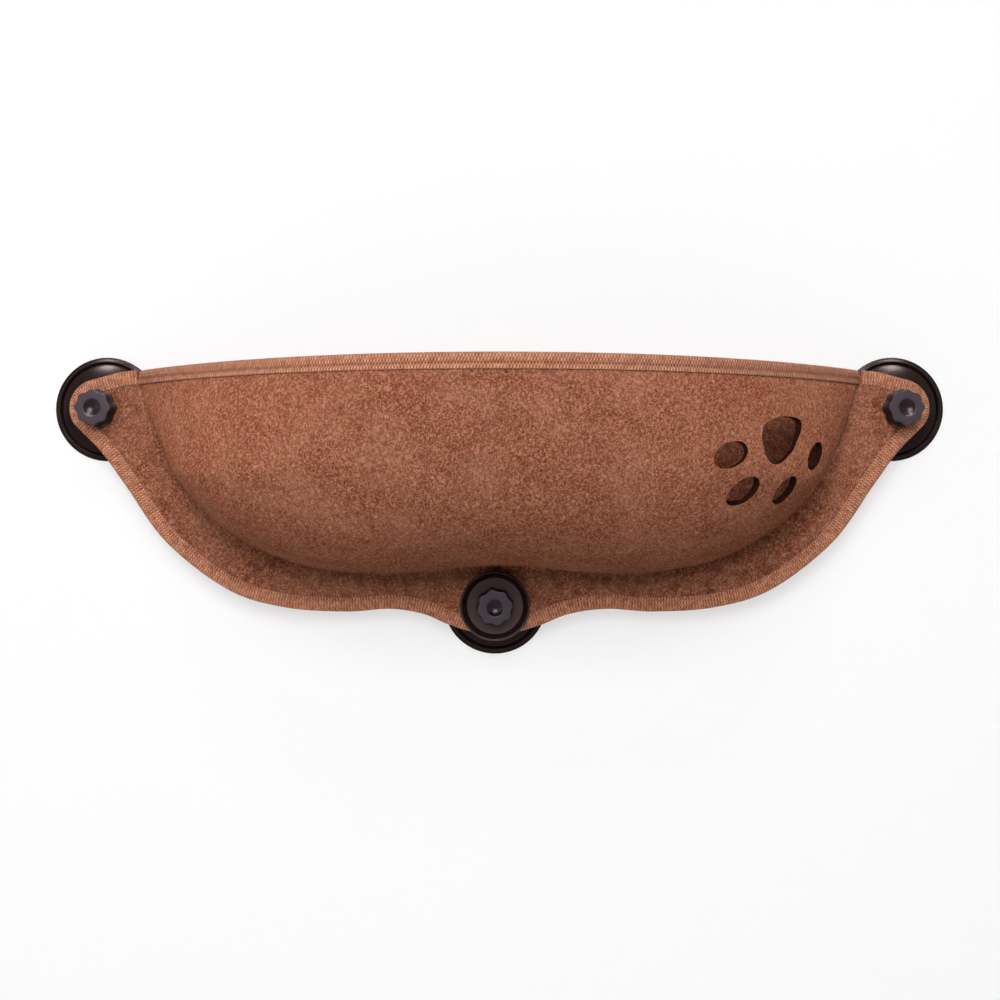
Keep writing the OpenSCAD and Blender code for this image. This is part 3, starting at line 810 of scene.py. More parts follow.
def frontFelt():
    # meridians down the pod, then straight lines out over the flange, outside
    # and inside, each moved along its normals by its lumps
    line, phi, side = feltOutline(shell["tabSteps"], shell["spanSteps"])
    edge = np.stack([line[:, 0], line[:, 1], np.full(len(line), float(felt["frontAt"]))], axis=1)
    layers = []
    for inset, lumpSeed in ((0, 3), (felt["frontThick"], 4)):
        podPart = meridians(phi, side, inset, shell["podRows"])
        t = np.linspace(0, 1, shell["flangeRows"] + 1)[1:, None, None]
        outer = edge - [0, 0, inset - (shell["joint"] if inset else 0)]
        flange = podPart[-1] + (outer - podPart[-1]) * t
        grid = np.concatenate([podPart, flange])
        grid = softened(grid, shell["podRows"], shell["filletRows"], shell["filletPasses"])
        reach = np.linalg.norm(grid[..., :2] - line, axis=-1)
        calm = shell["rimCalm"]
        fade = np.clip((reach - shell["lumpFrom"]) / shell["lumpFade"], 0, 1)
        fade = fade * np.clip((pod["rimRise"] - calm - grid[..., 1]) / calm, 0, 1)
        if inset:
            fade = fade * (grid[..., 2] > felt["flangeAt"] + 0.3)
        else:
            onFlange = np.arange(len(grid))[:, None] > shell["podRows"] + 2
            dip = np.exp(-(((reach - shell["tapeWidth"] - 1) / shell["dipWide"]) ** 2)) * onFlange
            grid[..., 2] -= shell["dip"] * dip
        raised = fade * lumps(grid, lumpSeed, shell["lump"], shell["shortest"], shell["longest"])
        layers.append(grid + gridNormals(grid) * raised[..., None])
    outer, inner = layers
    loop = toRow(np.concatenate([outer, inner[::-1], outer[:1]]))
    caps = [toRow(np.stack([outer[:, c], inner[:, c]], axis=1)) for c in (0, -1)]
    piece = weldPiece("frontFelt", [loop, *caps])
    cutBy(piece, pawCutters() + studCutters(felt["flangeAt"] - 3, felt["frontAt"] + 3))
    sharpen(piece, felt["sharpAngle"])
    return piece


frontPiece = place(frontFelt(), "hanger", "felt", finish["felt"], "pod_shell")
shadeCutWalls(frontPiece)
print("front felt:", len(frontPiece.data.polygons), "faces")


# Flat felt against the cups

panel = {
    "rows": 40,
    "lump": 0.16,
    "shortest": 12,
    "longest": 40,
    "studCalm": 16,
    "edgeCalm": 12,
    "calmFade": 30,
    "topFade": 20,
    "backShare": -0.3,
}


def backFelt():
    # straight lines from the outline to the matching point of the top edge
    line, phi, side = feltOutline(16, 8)
    topAcross = felt["topHalf"] * side * phi / pod["mouthAngle"]
    top = np.stack([topAcross, np.full(len(phi), felt["topUp"])], axis=1)
    t = np.linspace(0, 1, panel["rows"] + 1)[:, None, None]
    flat = line + (top - line) * t
    spots = ([felt["upperX"], 0], [-felt["upperX"], 0], [felt["lowerX"], felt["lowerUp"]])
    away = np.stack([np.linalg.norm(flat - spot, axis=-1) for spot in spots]).min(0)
    reach = np.linalg.norm(flat - line, axis=-1)
    fade = np.clip((away - panel["studCalm"]) / panel["calmFade"], 0, 1)
    fade = fade * np.clip((reach - panel["edgeCalm"]) / panel["calmFade"], 0, 1)
    fade = fade * np.clip((felt["topUp"] - panel["edgeCalm"] - flat[..., 1]) / panel["topFade"], 0, 1)
    faces = []
    for out, lumpSeed, share in ((felt["flangeAt"], 7, 1), (felt["backAt"], 8, panel["backShare"])):
        grid = np.concatenate([flat, np.full((*flat.shape[:2], 1), float(out))], axis=2)
        raised = lumps(grid, lumpSeed, panel["lump"], panel["shortest"], panel["longest"])
        grid[..., 2] -= fade * np.abs(raised) * share
        faces.append(grid)
    front, back = faces
    loop = toRow(np.concatenate([front, back[::-1], front[:1]]))
    caps = [toRow(np.stack([front[:, c], back[:, c]], axis=1)) for c in (0, -1)]
    piece = weldPiece("backFelt", [loop, *caps])
    cutBy(piece, studCutters(felt["backAt"] - 3, felt["flangeAt"] + 3))
    sharpen(piece, felt["sharpAngle"])
    return piece


backPiece = place(backFelt(), "hanger", "felt", finish["felt"], "back_panel")
shadeCutWalls(backPiece)
print("back felt:", len(backPiece.data.polygons), "faces")


# Binding tapes

tape = {
    "thick": 0.8,
    "flap": 10.4,
    "roundness": 2.4,
    "pillow": 0.22,
    "stitchIn": 1.7,
    "sunk": 0.12,
    "sunkWide": 0.7,
    "seamShade": 0.3,
    "seamWide": 0.6,
    "clear": 0.02,
    "edgeRound": 0.4,
    "cornerRound": 0.3,
    "topHalf": 274.0,
    "sectionPoints": 34,
    "spacing": 1.7,
    "sharpAngle": 60,
}


def tapeSection(front, back, flap):
    # [outwards from the felt's edge, out from the glass]: outside path, then
    # the inside path point for point, for a tape folded round both faces
    thick, soft, edge = tape["thick"], tape["roundness"], tape["edgeRound"]
    gap, turn = tape["clear"], tape["cornerRound"]
    outside = filleted([[-flap, front, 0], [-flap, front + thick, edge], [thick, front + thick, soft],
                        [thick, back - thick, soft], [-flap, back - thick, edge], [-flap, back, 0]], 7)
    inside = filleted([[-flap, front + gap, 0], [-gap, front + gap, turn],
                       [-gap, back - gap, turn], [-flap, back - gap, 0]], 4)
    outside, inside = (resampled(x, tape["sectionPoints"]) for x in (outside, inside))
    share = np.clip((outside[:, 0] + flap) / flap, 0, 1)
    groove = np.exp(-(((outside[:, 0] + flap - tape["stitchIn"]) / tape["sunkWide"]) ** 2))
    lift = tape["pillow"] * np.sin(math.pi * share) - tape["sunk"] * groove
    middle = (front + back) / 2
    onFace = (np.abs(outside[:, 1] - middle) > (front - back) / 2 + thick * 0.6) & (share > 0.03)
    outside[:, 1] += np.where(onFace, lift, 0) * np.sign(outside[:, 1] - middle)
    return outside, inside


def closedTape(name, sheets, uv):
    # the outside and inside sheets, joined along both edges and at both ends
    grids, uvGrids = [toRow(sheet) for sheet in sheets], [uv, uv]
    for r in (0, -1):
        grids.append(toRow(np.stack([sheets[0][r], sheets[1][r]])))
        uvGrids.append(np.stack([uv[r], uv[r]]))
    for c in (0, -1):
        grids.append(toRow(np.stack([sheets[0][:, c], sheets[1][:, c]], axis=1)))
        uvGrids.append(np.stack([uv[:, c], uv[:, c]], axis=1))
    piece = weldPiece(name, grids, uvGrids)
    sharpen(piece, tape["sharpAngle"])
    return piece


def foldedTape(name, line, front, back, flap):
    # the section carried along a line in the felt's plane
    line = resampled(line, int(lengthsAlong(line)[-1] / tape["spacing"]))
    way = unit(np.gradient(line, axis=0))
    aside = np.stack([-way[:, 1], way[:, 0]], axis=1)
    outside, inside = tapeSection(front, back, flap)
    sheets = []
    for section in (outside, inside):
        flat = line[None] + section[:, None, :1] * aside[None]
        out = np.broadcast_to(section[:, None, 1:], (*flat.shape[:2], 1))
        sheets.append(np.concatenate([flat, out], axis=2))
    along, across = lengthsAlong(line) / 1000, lengthsAlong(outside)
    inset = np.minimum(across, across[-1] - across)
    # painted shade along the stitched groove
    tapeShade = tape["seamShade"] * np.exp(-(((inset - tape["thick"] - tape["stitchIn"]) / tape["seamWide"]) ** 2))
    uv = np.stack(np.broadcast_arrays(along[None, :], across[:, None] / 1000, tapeShade[:, None]), axis=-1)
    return closedTape(name, sheets, uv), line, aside


fineLine = feltOutline(24, 16)[0]
edgeTape, edgeLine, edgeAside = foldedTape(
    "edgeTape", fineLine, felt["frontAt"], felt["backAt"], tape["flap"])
place(edgeTape, "hanger", "tape", finish["flangeTape"], "edge_binding")
topLine = np.array([[-tape["topHalf"], felt["topUp"]], [tape["topHalf"], felt["topUp"]]])
topTape, topRun, topAside = foldedTape(
    "topTape", topLine, felt["flangeAt"], felt["backAt"], tape["flap"])
place(topTape, "hanger", "tape", finish["flangeTape"], "top_binding")

rim = {
    "flap": 5.8,
    "wireUp": 1.95,
    "bendRadius": 2.0,
    "crown": 0.7,
    "lean": 0.45,
    "gap": 0.3,
    "reach": 0.985,
    "endAt": 34.1,
    "stations": 420,
    "endSteps": 8,
    "grooveDrop": 5.75,
    "groove": 0.75,
    "grooveWide": 0.62,
    "flapRows": 15,
    "bendRows": 17,
    "puff": 0.3,
    "puffShare": 0.85,
    "depthShare": 0.45,
    "grooveShadeWide": 0.8,
    "edgeShade": 0.8,
    "edgeShadeWide": 0.7,
}


def rimFrame(x):
    # the middle of the felt's rim, and the direction along it, level
    thick, wide = felt["frontThick"], pod["halfWidth"]
    scale = (wide - thick) / wide

    def middle(at):
        return (podSkin(at, pod["rimDrop"], 0) + podSkin(at * scale, pod["rimDrop"], thick)) / 2

    way = middle(x + 1) - middle(x - 1)
    way[..., 1] = 0
    way = unit(way)
    return middle(x), way, np.stack([-way[..., 2], np.zeros_like(x), way[..., 0]], axis=-1)


def rimFlap(x, side, drop, gap):
    # a point of the flap: the felt's face moved off along the level normal
    thick, wide = felt["frontThick"], pod["halfWidth"]
    spot = podSkin(x, drop, 0) if side > 0 else podSkin(x * (wide - thick) / wide, drop, thick)
    return spot + side * np.asarray(gap)[..., None] * rimFrame(x)[2]


def rimStations(count):
    # places across, from the right end to the left, closer together at the ends
    return rim["reach"] * pod["halfWidth"] * np.sin(np.linspace(math.pi / 2, -math.pi / 2, count))


def rimTape():
    # down over the felt's face, round the wire above it and down its inside
    x = rimStations(rim["stations"])[None, :]
    thick, g, low = tape["thick"], rim["gap"], pod["rimDrop"] + rim["flap"]
    turn = np.linspace(-math.pi / 2, math.pi / 2, 6)[:, None]
    # the flap's lower edge is round: gap and drop go round half the thickness
    edgeGap, edgeDrop = g + thick / 2 * (1 + np.sin(turn)), low - thick / 2 * (1 - np.cos(turn))
    drop = np.linspace(low - thick / 2, pod["rimDrop"], rim["flapRows"])[:, None]
    share = (low - drop) / rim["flap"]
    puff = rim["puff"] * np.sin(math.pi * np.clip(share / rim["puffShare"], 0, 1))
    dent = rim["groove"] * np.exp(-(((drop - rim["grooveDrop"]) / rim["grooveWide"]) ** 2))
    gap = g + thick + puff - dent
    centre, _, level = rimFrame(x)
    centre = centre + [0, rim["wireUp"], 0]

    def bend(radius, count, crown=0.0):
        t = np.linspace(0, math.pi, count + 2)[1:-1][:, None, None]
        rise = radius + crown * np.sin(t) ** 3
        return centre + radius * np.cos(t) * level + rise * np.sin(t) * np.array([0, 1, 0])

    outside = np.concatenate([
        rimFlap(x, 1, edgeDrop, edgeGap)[1:-1], rimFlap(x, 1, drop, gap),
        bend(rim["bendRadius"] + g + thick, rim["bendRows"], rim["crown"]),
        rimFlap(x, -1, drop, gap)[::-1], rimFlap(x, -1, edgeDrop, edgeGap)[1:-1][::-1]])
    plain = np.full_like(gap, g)
    # the inside's first and last rows are repeated, one for each row of a round edge
    first, last = (np.repeat(rimFlap(x, side, drop[:1], plain[:1]), len(turn) - 2, axis=0)
                   for side in (1, -1))
    inside = np.concatenate([
        first, rimFlap(x, 1, drop, plain), bend(rim["bendRadius"] + g, rim["bendRows"]),
        rimFlap(x, -1, drop, plain)[::-1], last])
    sheets = []
    for sheet in (outside, inside):
        ends = []
        for c in (0, -1):
            # straight on to a plane in front of the flange's tape
            way = unit(sheet[:, c] - sheet[:, 1 if c == 0 else -2])
            step = (rim["endAt"] - sheet[:, c, 2]) / way[:, 2]
            t = np.linspace(1, 0, rim["endSteps"], endpoint=False)[None, :, None]
            run = sheet[:, None, c] + step[:, None, None] * way[:, None] * t
            ends.append(run if c == 0 else run[:, ::-1])
        sheets.append(np.concatenate([ends[0], sheet, ends[1]], axis=1))
    crown = sheets[0][len(outside) // 2]
    along = lengthsAlong(crown, [1, 1, rim["depthShare"]])
    across = lengthsAlong(sheets[0][:, sheets[0].shape[1] // 2])
    inset = np.minimum(across, across[-1] - across)
    # painted shade in the groove between the stripes and along the flap's lower edges
    tapeShade = np.exp(-(((inset - (low - rim["grooveDrop"])) / rim["grooveShadeWide"]) ** 2))
    tapeShade = tapeShade + rim["edgeShade"] * np.exp(-((inset / rim["edgeShadeWide"]) ** 2))
    lean = (along[None, :] + rim["lean"] * across[:, None]) / 1000
    uv = np.stack(np.broadcast_arrays(lean, across[:, None] / 1000, tapeShade[:, None]), axis=-1)
    return closedTape("rimTape", sheets, uv)


rimPiece = place(rimTape(), "hanger", "tape", finish["rimTape"], "rim_binding")
print("tapes:", *(len(p.data.polygons) for p in (edgeTape, topTape, rimPiece)), "faces")


# Sewing

stitch = {
    "pitch": 3.5,
    "length": 2.5,
    "radius": 0.3,
    "rise": 0.3,
    "nubPitch": 2.4,
    "nubLength": 2.4,
    "nubRadius": 0.75,
    "sides": 6,
    "lean": 0.06,
    "bedded": 0.6,
    "sunk": 0.12,
    "nubIn": 0.7,
    "nubSunk": 0.5,
    "rimRows": 600,
    "rimDarkLow": 0.1,
    "rimDarkOut": 0.25,
    "rimBackIn": 1.1,
}


def stitches(name, spots, ways, normals, seed, length, radius):
    # each stitch is a short arched thread: centre + along + rise (1 - t^2),
    # with a radius that closes at both ends
    rng = np.random.default_rng(seed)
    count = len(spots)
    lean = rng.normal(0, stitch["lean"], count)[:, None]
    side = np.cross(normals, ways)
    ways = unit(ways + lean * side)
    side = np.cross(normals, ways)
    t = np.array([-1, -0.86, -0.45, 0, 0.45, 0.86, 1])
    size = radius * np.array([0, 0.75, 1, 1, 1, 0.75, 0])
    turn = np.linspace(0, 2 * math.pi, stitch["sides"] + 1)
    centre = (spots[:, None] + ways[:, None] * (t * length / 2)[None, :, None]
              + normals[:, None] * (stitch["rise"] * (1 - t**2) - radius * stitch["bedded"])[None, :, None])
    ring = (np.cos(turn)[None, None, :, None] * side[:, None, None]
            + np.sin(turn)[None, None, :, None] * normals[:, None, None])
    grid = centre[:, :, None] + size[None, :, None, None] * ring
    return weldPiece(name, list(toRow(grid)))


def rowOfStitches(name, line, normals, seed, crosswise=False):
    # evenly spaced along a line of points with a normal at each, or short nubs
    # that lie across the line
    kind = ("nubPitch", "nubLength", "nubRadius") if crosswise else ("pitch", "length", "radius")
    pitch, length, radius = (stitch[k] for k in kind)
    along = lengthsAlong(line)
    at = np.arange(pitch, along[-1] - pitch / 2, pitch)

    def pick(values):
        return np.stack([np.interp(at, along, values[:, k]) for k in range(3)], axis=1)

    way = unit(np.gradient(line, axis=0))
    spots, ways, square = pick(line), unit(pick(way)), unit(pick(normals))
    ways = np.cross(square, ways) if crosswise else ways
    return stitches(name, spots, ways, square, seed, length, radius)


def flatRow(name, line, aside, inward, out, face, seed, crosswise=False):
    # along a line in the felt's plane, so far inward and so far out
    points = np.concatenate([line - aside * inward, np.full((len(line), 1), out)], axis=1)
    normals = np.broadcast_to(np.array([0, 0, float(face)]), points.shape)
    return rowOfStitches(name, points, normals, seed, crosswise)


def rimRow(name, side, drop, gap, seed):
    # along the rim's flap, at one drop below the rim and one gap off the felt
    x = rimStations(stitch["rimRows"])
    points = rimFlap(x, side, np.full_like(x, drop), np.full_like(x, gap))
    return rowOfStitches(name, points, side * rimFrame(x)[2], seed)


inward, over = tape["flap"] - tape["stitchIn"], tape["thick"] - stitch["sunk"]
nubIn, nubOver = tape["flap"] - stitch["nubIn"], tape["thick"] - stitch["nubSunk"]
rimLow, rimOver = pod["rimDrop"] + rim["flap"], rim["gap"] + tape["thick"] + stitch["sunk"]
rows = [
    flatRow("edgeStitchFront", edgeLine, edgeAside, nubIn, felt["frontAt"] + nubOver, 1, 11, True),
    flatRow("edgeStitchBack", edgeLine, edgeAside, inward, felt["backAt"] - over, -1, 12),
    flatRow("topStitchFront", topRun, topAside, inward, felt["flangeAt"] + over, 1, 13),
    flatRow("topStitchBack", topRun, topAside, inward, felt["backAt"] - over, -1, 14),
    # the rim's front stitches are dark: painted shadow of the gaps that they pull in at the tape's lower edge
    rimRow("rimStitchFront", 1, rimLow + stitch["rimDarkLow"], rim["gap"] + stitch["rimDarkOut"], 15),
    rimRow("rimStitchBack", -1, rimLow - stitch["rimBackIn"], rimOver, 16),
]
threads = {"rimStitchFront": "shadowGapThread", "edgeStitchFront": "nub"}
for row in rows:
    place(row, "hanger", "tape", finish[threads.get(row.name, "thread")])
print("sewing:", sum(len(p.data.polygons) for p in rows), "faces")


# Turned and moulded pieces

latheSteps = 128
sharpAngles = {"cup": 50, "disc": 50, "knob": 50, "stud": 40}


def lathe(name, corners, spot, sharpAngle):
    # a filleted profile [radius, out] turned round an axis that points out
    profile = filleted(corners, 6)
    turn = np.linspace(0, 2 * math.pi, latheSteps + 1)
    grid = np.stack(np.broadcast_arrays(
        spot[0] + profile[:, :1] * np.cos(turn), spot[1] + profile[:, :1] * np.sin(turn),
        profile[:, 1:] + 0 * turn), axis=-1)
    piece = weldPiece(name, [toRow(grid)])
    sharpen(piece, sharpAngle)
    return piece


cupSpots = {
    "left": (-felt["upperX"], 0),
    "right": (felt["upperX"], 0),
    "lower": (felt["lowerX"], felt["lowerUp"]),
}
cup = {
    "lip": 42,
    "lipThick": 1.4,
    "bead": 38.4,
    "beadHigh": 0.9,
    "height": 26,
    "seat": 11.4,
    "domeHigh": 14,
    "hollow": 5.5,
    "studRadius": 4.05,
    "headRadius": 9.17,
    "headFrom": 8.95,
    "headTo": 12.05,
    "dome": [[1, 0], [0.93, 0.14], [0.83, 0.28], [0.72, 0.41], [0.6, 0.53], [0.47, 0.65],
             [0.33, 0.76], [0.2, 0.87], [0.09, 0.96], [0, 1.12]],
    "under": [[0, 1], [0.12, 0.99], [0.3, 0.92], [0.52, 0.75], [0.7, 0.53], [0.86, 0.28], [1, 0]],
}


def cupProfile():
    # [radius, out, fillet]: the hollow underside, the lip and its bead, the dome,
    # then down inside round the stud and its head
    b, h, t = cup["bead"], cup["beadHigh"], cup["lipThick"]
    domeWide, domeFrom = b - 2 * h, t + h
    dome = [[cup["seat"] + (domeWide - cup["seat"]) * x, domeFrom + (cup["domeHigh"] - domeFrom) * y, 2.2]
            for x, y in cup["dome"]]
    under = [[b * x, cup["hollow"] * y, 2] for x, y in cup["under"]]
    return [*under, [cup["lip"], 0, 0.3], [cup["lip"], t, 0.6], [b + 2.2 * h, t + h * 0.45, 0.8],
            [b + 0.6 * h, t + 2 * h, 0.5], [b - 0.6 * h, t + 2 * h, 0.5], [b - 1.6 * h, t + h * 0.2, 0.5],
            *dome, [cup["seat"], cup["height"], 0.4], [cup["studRadius"], cup["height"], 0],
            [cup["studRadius"], cup["headTo"], 0], [cup["headRadius"], cup["headTo"], 0],
            [cup["headRadius"], cup["headFrom"], 0], [0, cup["headFrom"], 0]]


disc = {
    "radius": 27.7,
    "thick": 1.8,
    "rise": 4.4,
    "bevel": 5.4,
    "foot": 1.3,
    "seat": 11.4,
    "hole": 4.5,
}


def discProfile():
    # [radius, out, fillet]: the foot, the flat, the raised bevel and back over the top
    r, t, base = disc["radius"], disc["thick"], felt["frontAt"]
    face, low = r - disc["bevel"], base + disc["foot"]
    top = low + t
    return [[disc["hole"], base, 0], [disc["seat"] - disc["foot"], base, 0.3], [disc["seat"], low, 0.3],
            [face, low, 0.8], [r - 0.9, low + disc["rise"] - 0.9, 0.8], [r, low + disc["rise"], 0.5],
            [r, top + disc["rise"] - 0.9, 0.6], [r - 0.9, top + disc["rise"], 0.6],
            [r - 1.9, top + disc["rise"] - 0.5, 0.4], [face + 0.9, top + 0.9, 0.6], [face, top, 0.4],
            [disc["hole"], top, 0.2], [disc["hole"], base, 0]]


knob = {
    "radius": 14,
    "high": 20,
    "lobes": 8,
    "lobeCut": 1.5,
    "footOut": 1.1,
    "footHigh": 4,
    "dimple": 7.2,
    "dimpleDeep": 2.2,
    "insert": 6.05,
    "insertHigh": 12,
    "insertSpare": 1,
    "socket": 4.5,
    "socketHigh": 15,
    "turnSteps": 192,
    "bowlSteps": 12,
}


def knobPiece(name, spot, at, turned):
    # radius = profile - share x depth (1 - cos(lobes x angle)) / 2, and a map
    # that holds each point's turn and height for the finish
    wide, h, f = knob["radius"], knob["high"], knob["footOut"]
    d, deep = knob["dimple"], knob["dimpleDeep"]
    ball = (d * d + deep * deep) / (2 * deep)
    bowl = [[ball * math.sin(a), h - deep + ball * (1 - math.cos(a)), 0, 0]
            for a in np.linspace(math.asin(d / ball) * 0.97, 0, knob["bowlSteps"])]
    corners = [[0, knob["socketHigh"], 0, 0], [knob["socket"], knob["socketHigh"], 0, 0],
               [knob["socket"], knob["insertHigh"], 0, 0], [knob["insert"], knob["insertHigh"], 0, 0],
               [knob["insert"], 0, 0, 0.2], [wide + f, 0, 1, 0.5], [wide + f, knob["footHigh"], 1, 0.6],
               [wide + 0.1, knob["footHigh"] + 0.5, 1, 0.4], [wide, h - 0.2, 1, 0.9], [wide - 0.2, h, 1, 0.9],
               [d + 1.0, h + 0.02, 0, 0.3], [d + 0.1, h, 0, 0.5], *bowl]
    profile = filleted(corners, 6)
    turn = np.linspace(0, 2 * math.pi, knob["turnSteps"] + 1)
    lobe = (1 - np.cos(knob["lobes"] * (turn - math.radians(turned)))) / 2
    r = profile[:, :1] - profile[:, 2:3] * knob["lobeCut"] * lobe
    grid = np.stack([spot[0] + r * np.cos(turn), spot[1] + r * np.sin(turn),
                     at + profile[:, 1:2] + 0 * turn], axis=-1)
    uv = np.stack(np.broadcast_arrays(turn[None, :] * 0.01, profile[:, 1:2] / 1000, 0), axis=-1)
    piece = weldPiece(name, [toRow(grid)], [uv])
    sharpen(piece, sharpAngles["knob"])
    return piece


stud = {
    "radius": 4.0,
    "threadDeep": 0.6,
    "pitch": 1.25,
    "headRadius": 9.12,
    "headFrom": 9,
    "headThick": 3,
    "rowsPerTurn": 8,
    "turnSteps": 40,
    "tipCut": 0.9,
    "tipSlope": 1.2,
}


def studPiece(name, spot, tip):
    # thread: radius = crest - depth x |saw(height / pitch - angle / turn)|
    start = stud["headFrom"] + stud["headThick"]
    count = int((tip - start) / stud["pitch"] * stud["rowsPerTurn"])
    h = np.linspace(start, tip, count)[:, None]
    turn = np.linspace(0, 2 * math.pi, stud["turnSteps"] + 1)[None, :]
    saw = np.abs(2 * ((h / stud["pitch"] - turn / (2 * math.pi)) % 1) - 1)
    r = stud["radius"] - stud["threadDeep"] * (1 - saw)
    r = np.minimum(r, stud["radius"] - stud["tipCut"] + (tip - h) * stud["tipSlope"])
    low = filleted([[0, stud["headFrom"], 0], [stud["headRadius"], stud["headFrom"], 0.3],
                    [stud["headRadius"], start, 0.3], [stud["radius"] + 0.01, start, 0]], 4)
    lowR, lowH = low[:, :1] + 0 * turn, low[:, 1:] + 0 * turn
    r = np.concatenate([lowR, r, 0 * turn])
    h = np.concatenate([lowH, h + 0 * turn, tip + 0 * turn])
    grid = np.stack([spot[0] + r * np.cos(turn), spot[1] + r * np.sin(turn), h], axis=-1)
    piece = weldPiece(name, [toRow(grid)])
    sharpen(piece, sharpAngles["stud"])
    return piece


knobAt = {"left": 34.6, "right": 34.6, "lower": 36.1}
knobTurned = {"left": 0, "right": 0, "lower": 11}
for where, spot in cupSpots.items():
    side, tip = where.title(), knobAt[where] + knob["insertHigh"] + knob["insertSpare"]
    cupPiece = lathe("cup" + side, cupProfile(), spot, sharpAngles["cup"])
    place(cupPiece, "hanger", "cup_rubber", finish["rubber"], "suction_cup_" + where)
    place(studPiece("stud" + side, spot, tip), "hanger", "steel", finish["steel"], "stud_" + where)
    place(knobPiece("knob" + side, spot, knobAt[where], knobTurned[where]), "knob_body_" + where,
          "knob_plastic", finish["knob"], "knob_" + where)
discPiece = lathe("clampDisc", discProfile(), cupSpots["lower"], sharpAngles["disc"])
place(discPiece, "clamp_disc_body", "black_plastic", finish["disc"], "clamp_disc_lower")
cadFinish = {"rim_wire": "steel", "washer_left": "disc", "washer_right": "disc",
             "knob_insert_left": "brass", "knob_insert_right": "brass", "knob_insert_lower": "brass"}
for name, look in cadFinish.items():
    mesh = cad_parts[name].data
    mesh.materials.clear()
    mesh.materials.append(finish[look])
print("cups, studs, knobs and disc: made")


# Stage, lights and camera

studio = {
    "wallSize": 12,
    "wallAt": 0.0008,
    "floorAt": -0.95,
    "glow": 0.585,
    "shadowShare": 0.36,
    "bounce": 0.5,
    "worldLight": 0.08,
}


def lookedAt(tree, path):
    # 1 where the camera, a gloss or glass looks, and 0 for the light that bounces
    seen = mathOn(tree, "MAXIMUM", path.outputs["Is Camera Ray"], path.outputs["Is Glossy Ray"])
    return mathOn(tree, "MAXIMUM", seen, path.outputs["Is Transmission Ray"])


def stageMaterial(name, seeThrough):
    # pale for light that bounces; nearly white where the camera, a gloss or
    # glass looks at it, less its shadow; the wall's back isn't there, and the
    # wall lets the lamp behind it through
    material, tree, shader = startMaterial(name)
    tree.nodes.remove(shader)
    diffuse, dim = addNode(tree, "BsdfDiffuse"), addNode(tree, "BsdfDiffuse")
    fill(tree, diffuse.inputs["Color"], (studio["bounce"],) * 3)
    fill(tree, dim.inputs["Color"], (studio["shadowShare"],) * 3)
    light = addNode(tree, "Emission")
    fill(tree, light.inputs["Strength"], studio["glow"])
    path = addNode(tree, "LightPath")
    seen = joined(tree, addNode(tree, "AddShader"), dim.outputs[0], light.outputs[0])
    last = joined(tree, addNode(tree, "MixShader"), lookedAt(tree, path), diffuse.outputs[0], seen)
    if seeThrough:
        behind = addNode(tree, "NewGeometry").outputs["Backfacing"]
        gone = mathOn(tree, "MAXIMUM", behind, path.outputs["Is Shadow Ray"])
        clear = addNode(tree, "BsdfTransparent").outputs[0]
        last = joined(tree, addNode(tree, "MixShader"), gone, last, clear)
    fill(tree, tree.nodes["Material Output"].inputs["Surface"], last)
    return material


def stagePlane(name, corners, material):
    # one face, which isn't part of the object
    mesh = bpy.data.meshes.new(name)
    mesh.from_pydata(corners, [], [(0, 1, 2, 3)])
    mesh.materials.append(material)
    plane = bpy.data.objects.new(name, mesh)
    bpy.context.scene.collection.objects.link(plane)


s, z, y = studio["wallSize"], studio["floorAt"], studio["wallAt"]
stagePlane("wall", [(-s, y, z), (s, y, z), (s, y, s), (-s, y, s)], stageMaterial("wallWhite", True))
stagePlane("floor", [(-s, -s, z), (s, -s, z), (s, s, z), (-s, s, z)], stageMaterial("floorWhite", False))

world = bpy.data.worlds.new("studio")
bpy.context.scene.world = world
world.use_nodes = True
sky = world.node_tree
ambient, white = sky.nodes["Background"], addNode(sky, "Background")
for node, strength in ((ambient, studio["worldLight"]), (white, 1)):
    fillAll(sky, node, {"Color": (1, 1, 1), "Strength": strength})
shown = joined(sky, addNode(sky, "MixShader"), lookedAt(sky, addNode(sky, "LightPath")),
               ambient.outputs[0], white.outputs[0])
fill(sky, sky.nodes["World Output"].inputs["Surface"], shown)

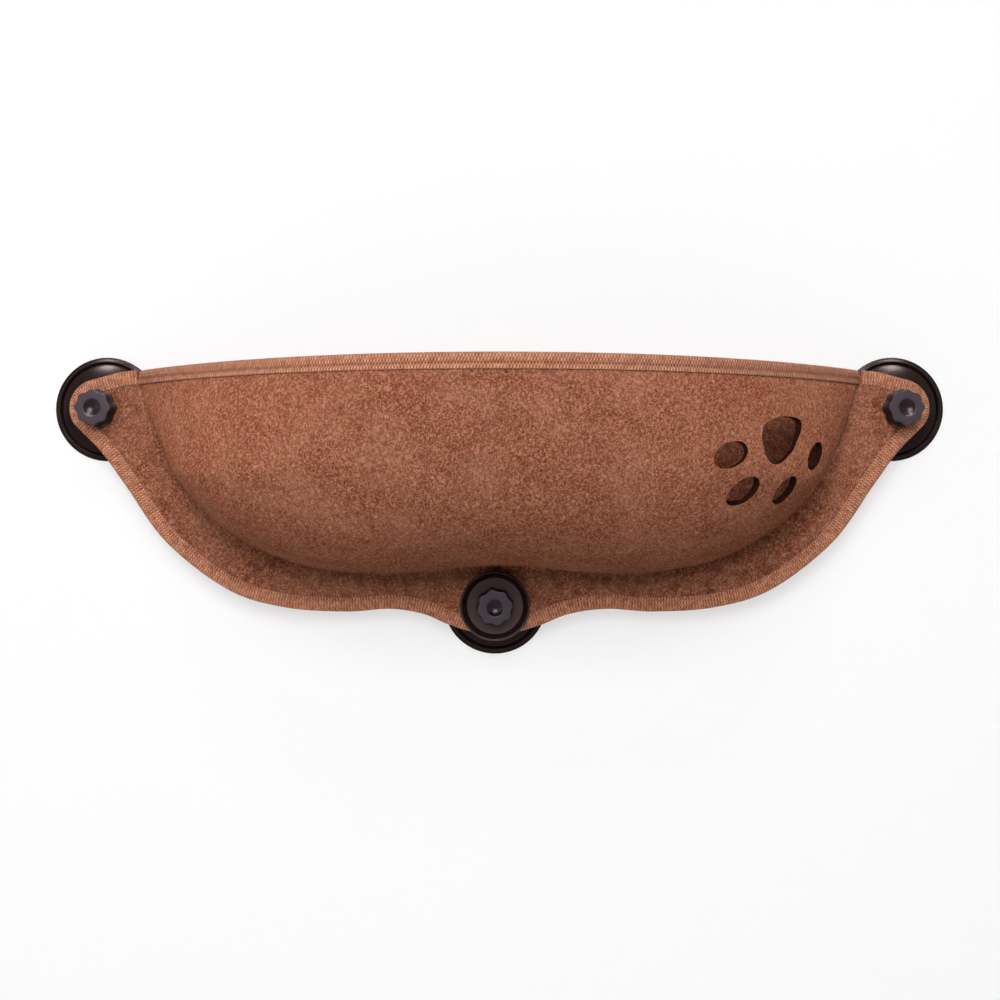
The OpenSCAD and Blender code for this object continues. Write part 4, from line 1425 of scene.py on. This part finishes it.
# watts, and sizes and places in metres; a lamp for gloss only shows in the
# rubber and plastic and leaves the cloth
onPod = (0, -0.1, -0.05)
lamps = {
    "front": {"at": (-0.18, -2.8, 1.0), "aim": onPod, "size": (1.35, 1.35), "power": 83},
    "back": {"at": (0.2, 2.6, 0.7), "aim": (0, 0, -0.08), "size": (1.8, 1.8), "power": 60},
    "left": {"at": (-1.7, -1.5, -0.3), "aim": onPod, "size": (1.2, 1.2), "power": 5.5},
    "top": {"at": (0, -1.35, 1.35), "aim": onPod, "size": (0.4, 0.3), "power": 3.5},
    "overLeft": {"at": (-0.6, -0.4, 1.4), "aim": (-0.3, 0, 0), "size": (0.5, 0.5), "power": 42},
    "overRight": {"at": (0.6, -0.4, 1.4), "aim": (0.3, 0, 0), "size": (0.5, 0.5), "power": 42},
    "sparkle": {"at": (0, -1.35, 1.35), "aim": onPod, "size": (0.5, 0.4), "power": 38},
    "right": {"at": (1.8, -1.4, 0.1), "aim": onPod, "size": (1.6, 1.6), "power": 0.5},
}
glossOnly = ("overLeft", "overRight", "sparkle")
for name, lamp in lamps.items():
    light = bpy.data.lights.new(name, "AREA")
    light.shape = "RECTANGLE"
    light.size, light.size_y = lamp["size"]
    light.energy = lamp["power"]
    holder = bpy.data.objects.new(name, light)
    holder.visible_diffuse = name not in glossOnly
    bpy.context.scene.collection.objects.link(holder)
    holder.location = lamp["at"]
    way = bpy.context.scene.cursor.location.copy()
    way.xyz = (np.array(lamp["aim"]) - np.array(lamp["at"])).tolist()
    holder.rotation_euler = way.to_track_quat("-Z", "Y").to_euler()

view = {
    "distance": 1.361,
    "height": -0.045,
    "downDegrees": 1.2,
    "lens": 60.26,
    "sensor": 36,
    "shift": 0.0005,
    "nearest": 0.02,
    "furthest": 60,
}
camera = bpy.data.objects.new("camera", bpy.data.cameras.new("camera"))
bpy.context.scene.collection.objects.link(camera)
camera.location = (0, -view["distance"], view["height"])
camera.rotation_euler = (math.radians(90 - view["downDegrees"]), 0, 0)
lens = camera.data
lens.lens, lens.sensor_width, lens.shift_x = view["lens"], view["sensor"], view["shift"]
lens.clip_start, lens.clip_end = view["nearest"], view["furthest"]
bpy.context.scene.camera = camera
bpy.context.scene.view_settings.view_transform = "Standard"
print("stage, lights and camera: set")
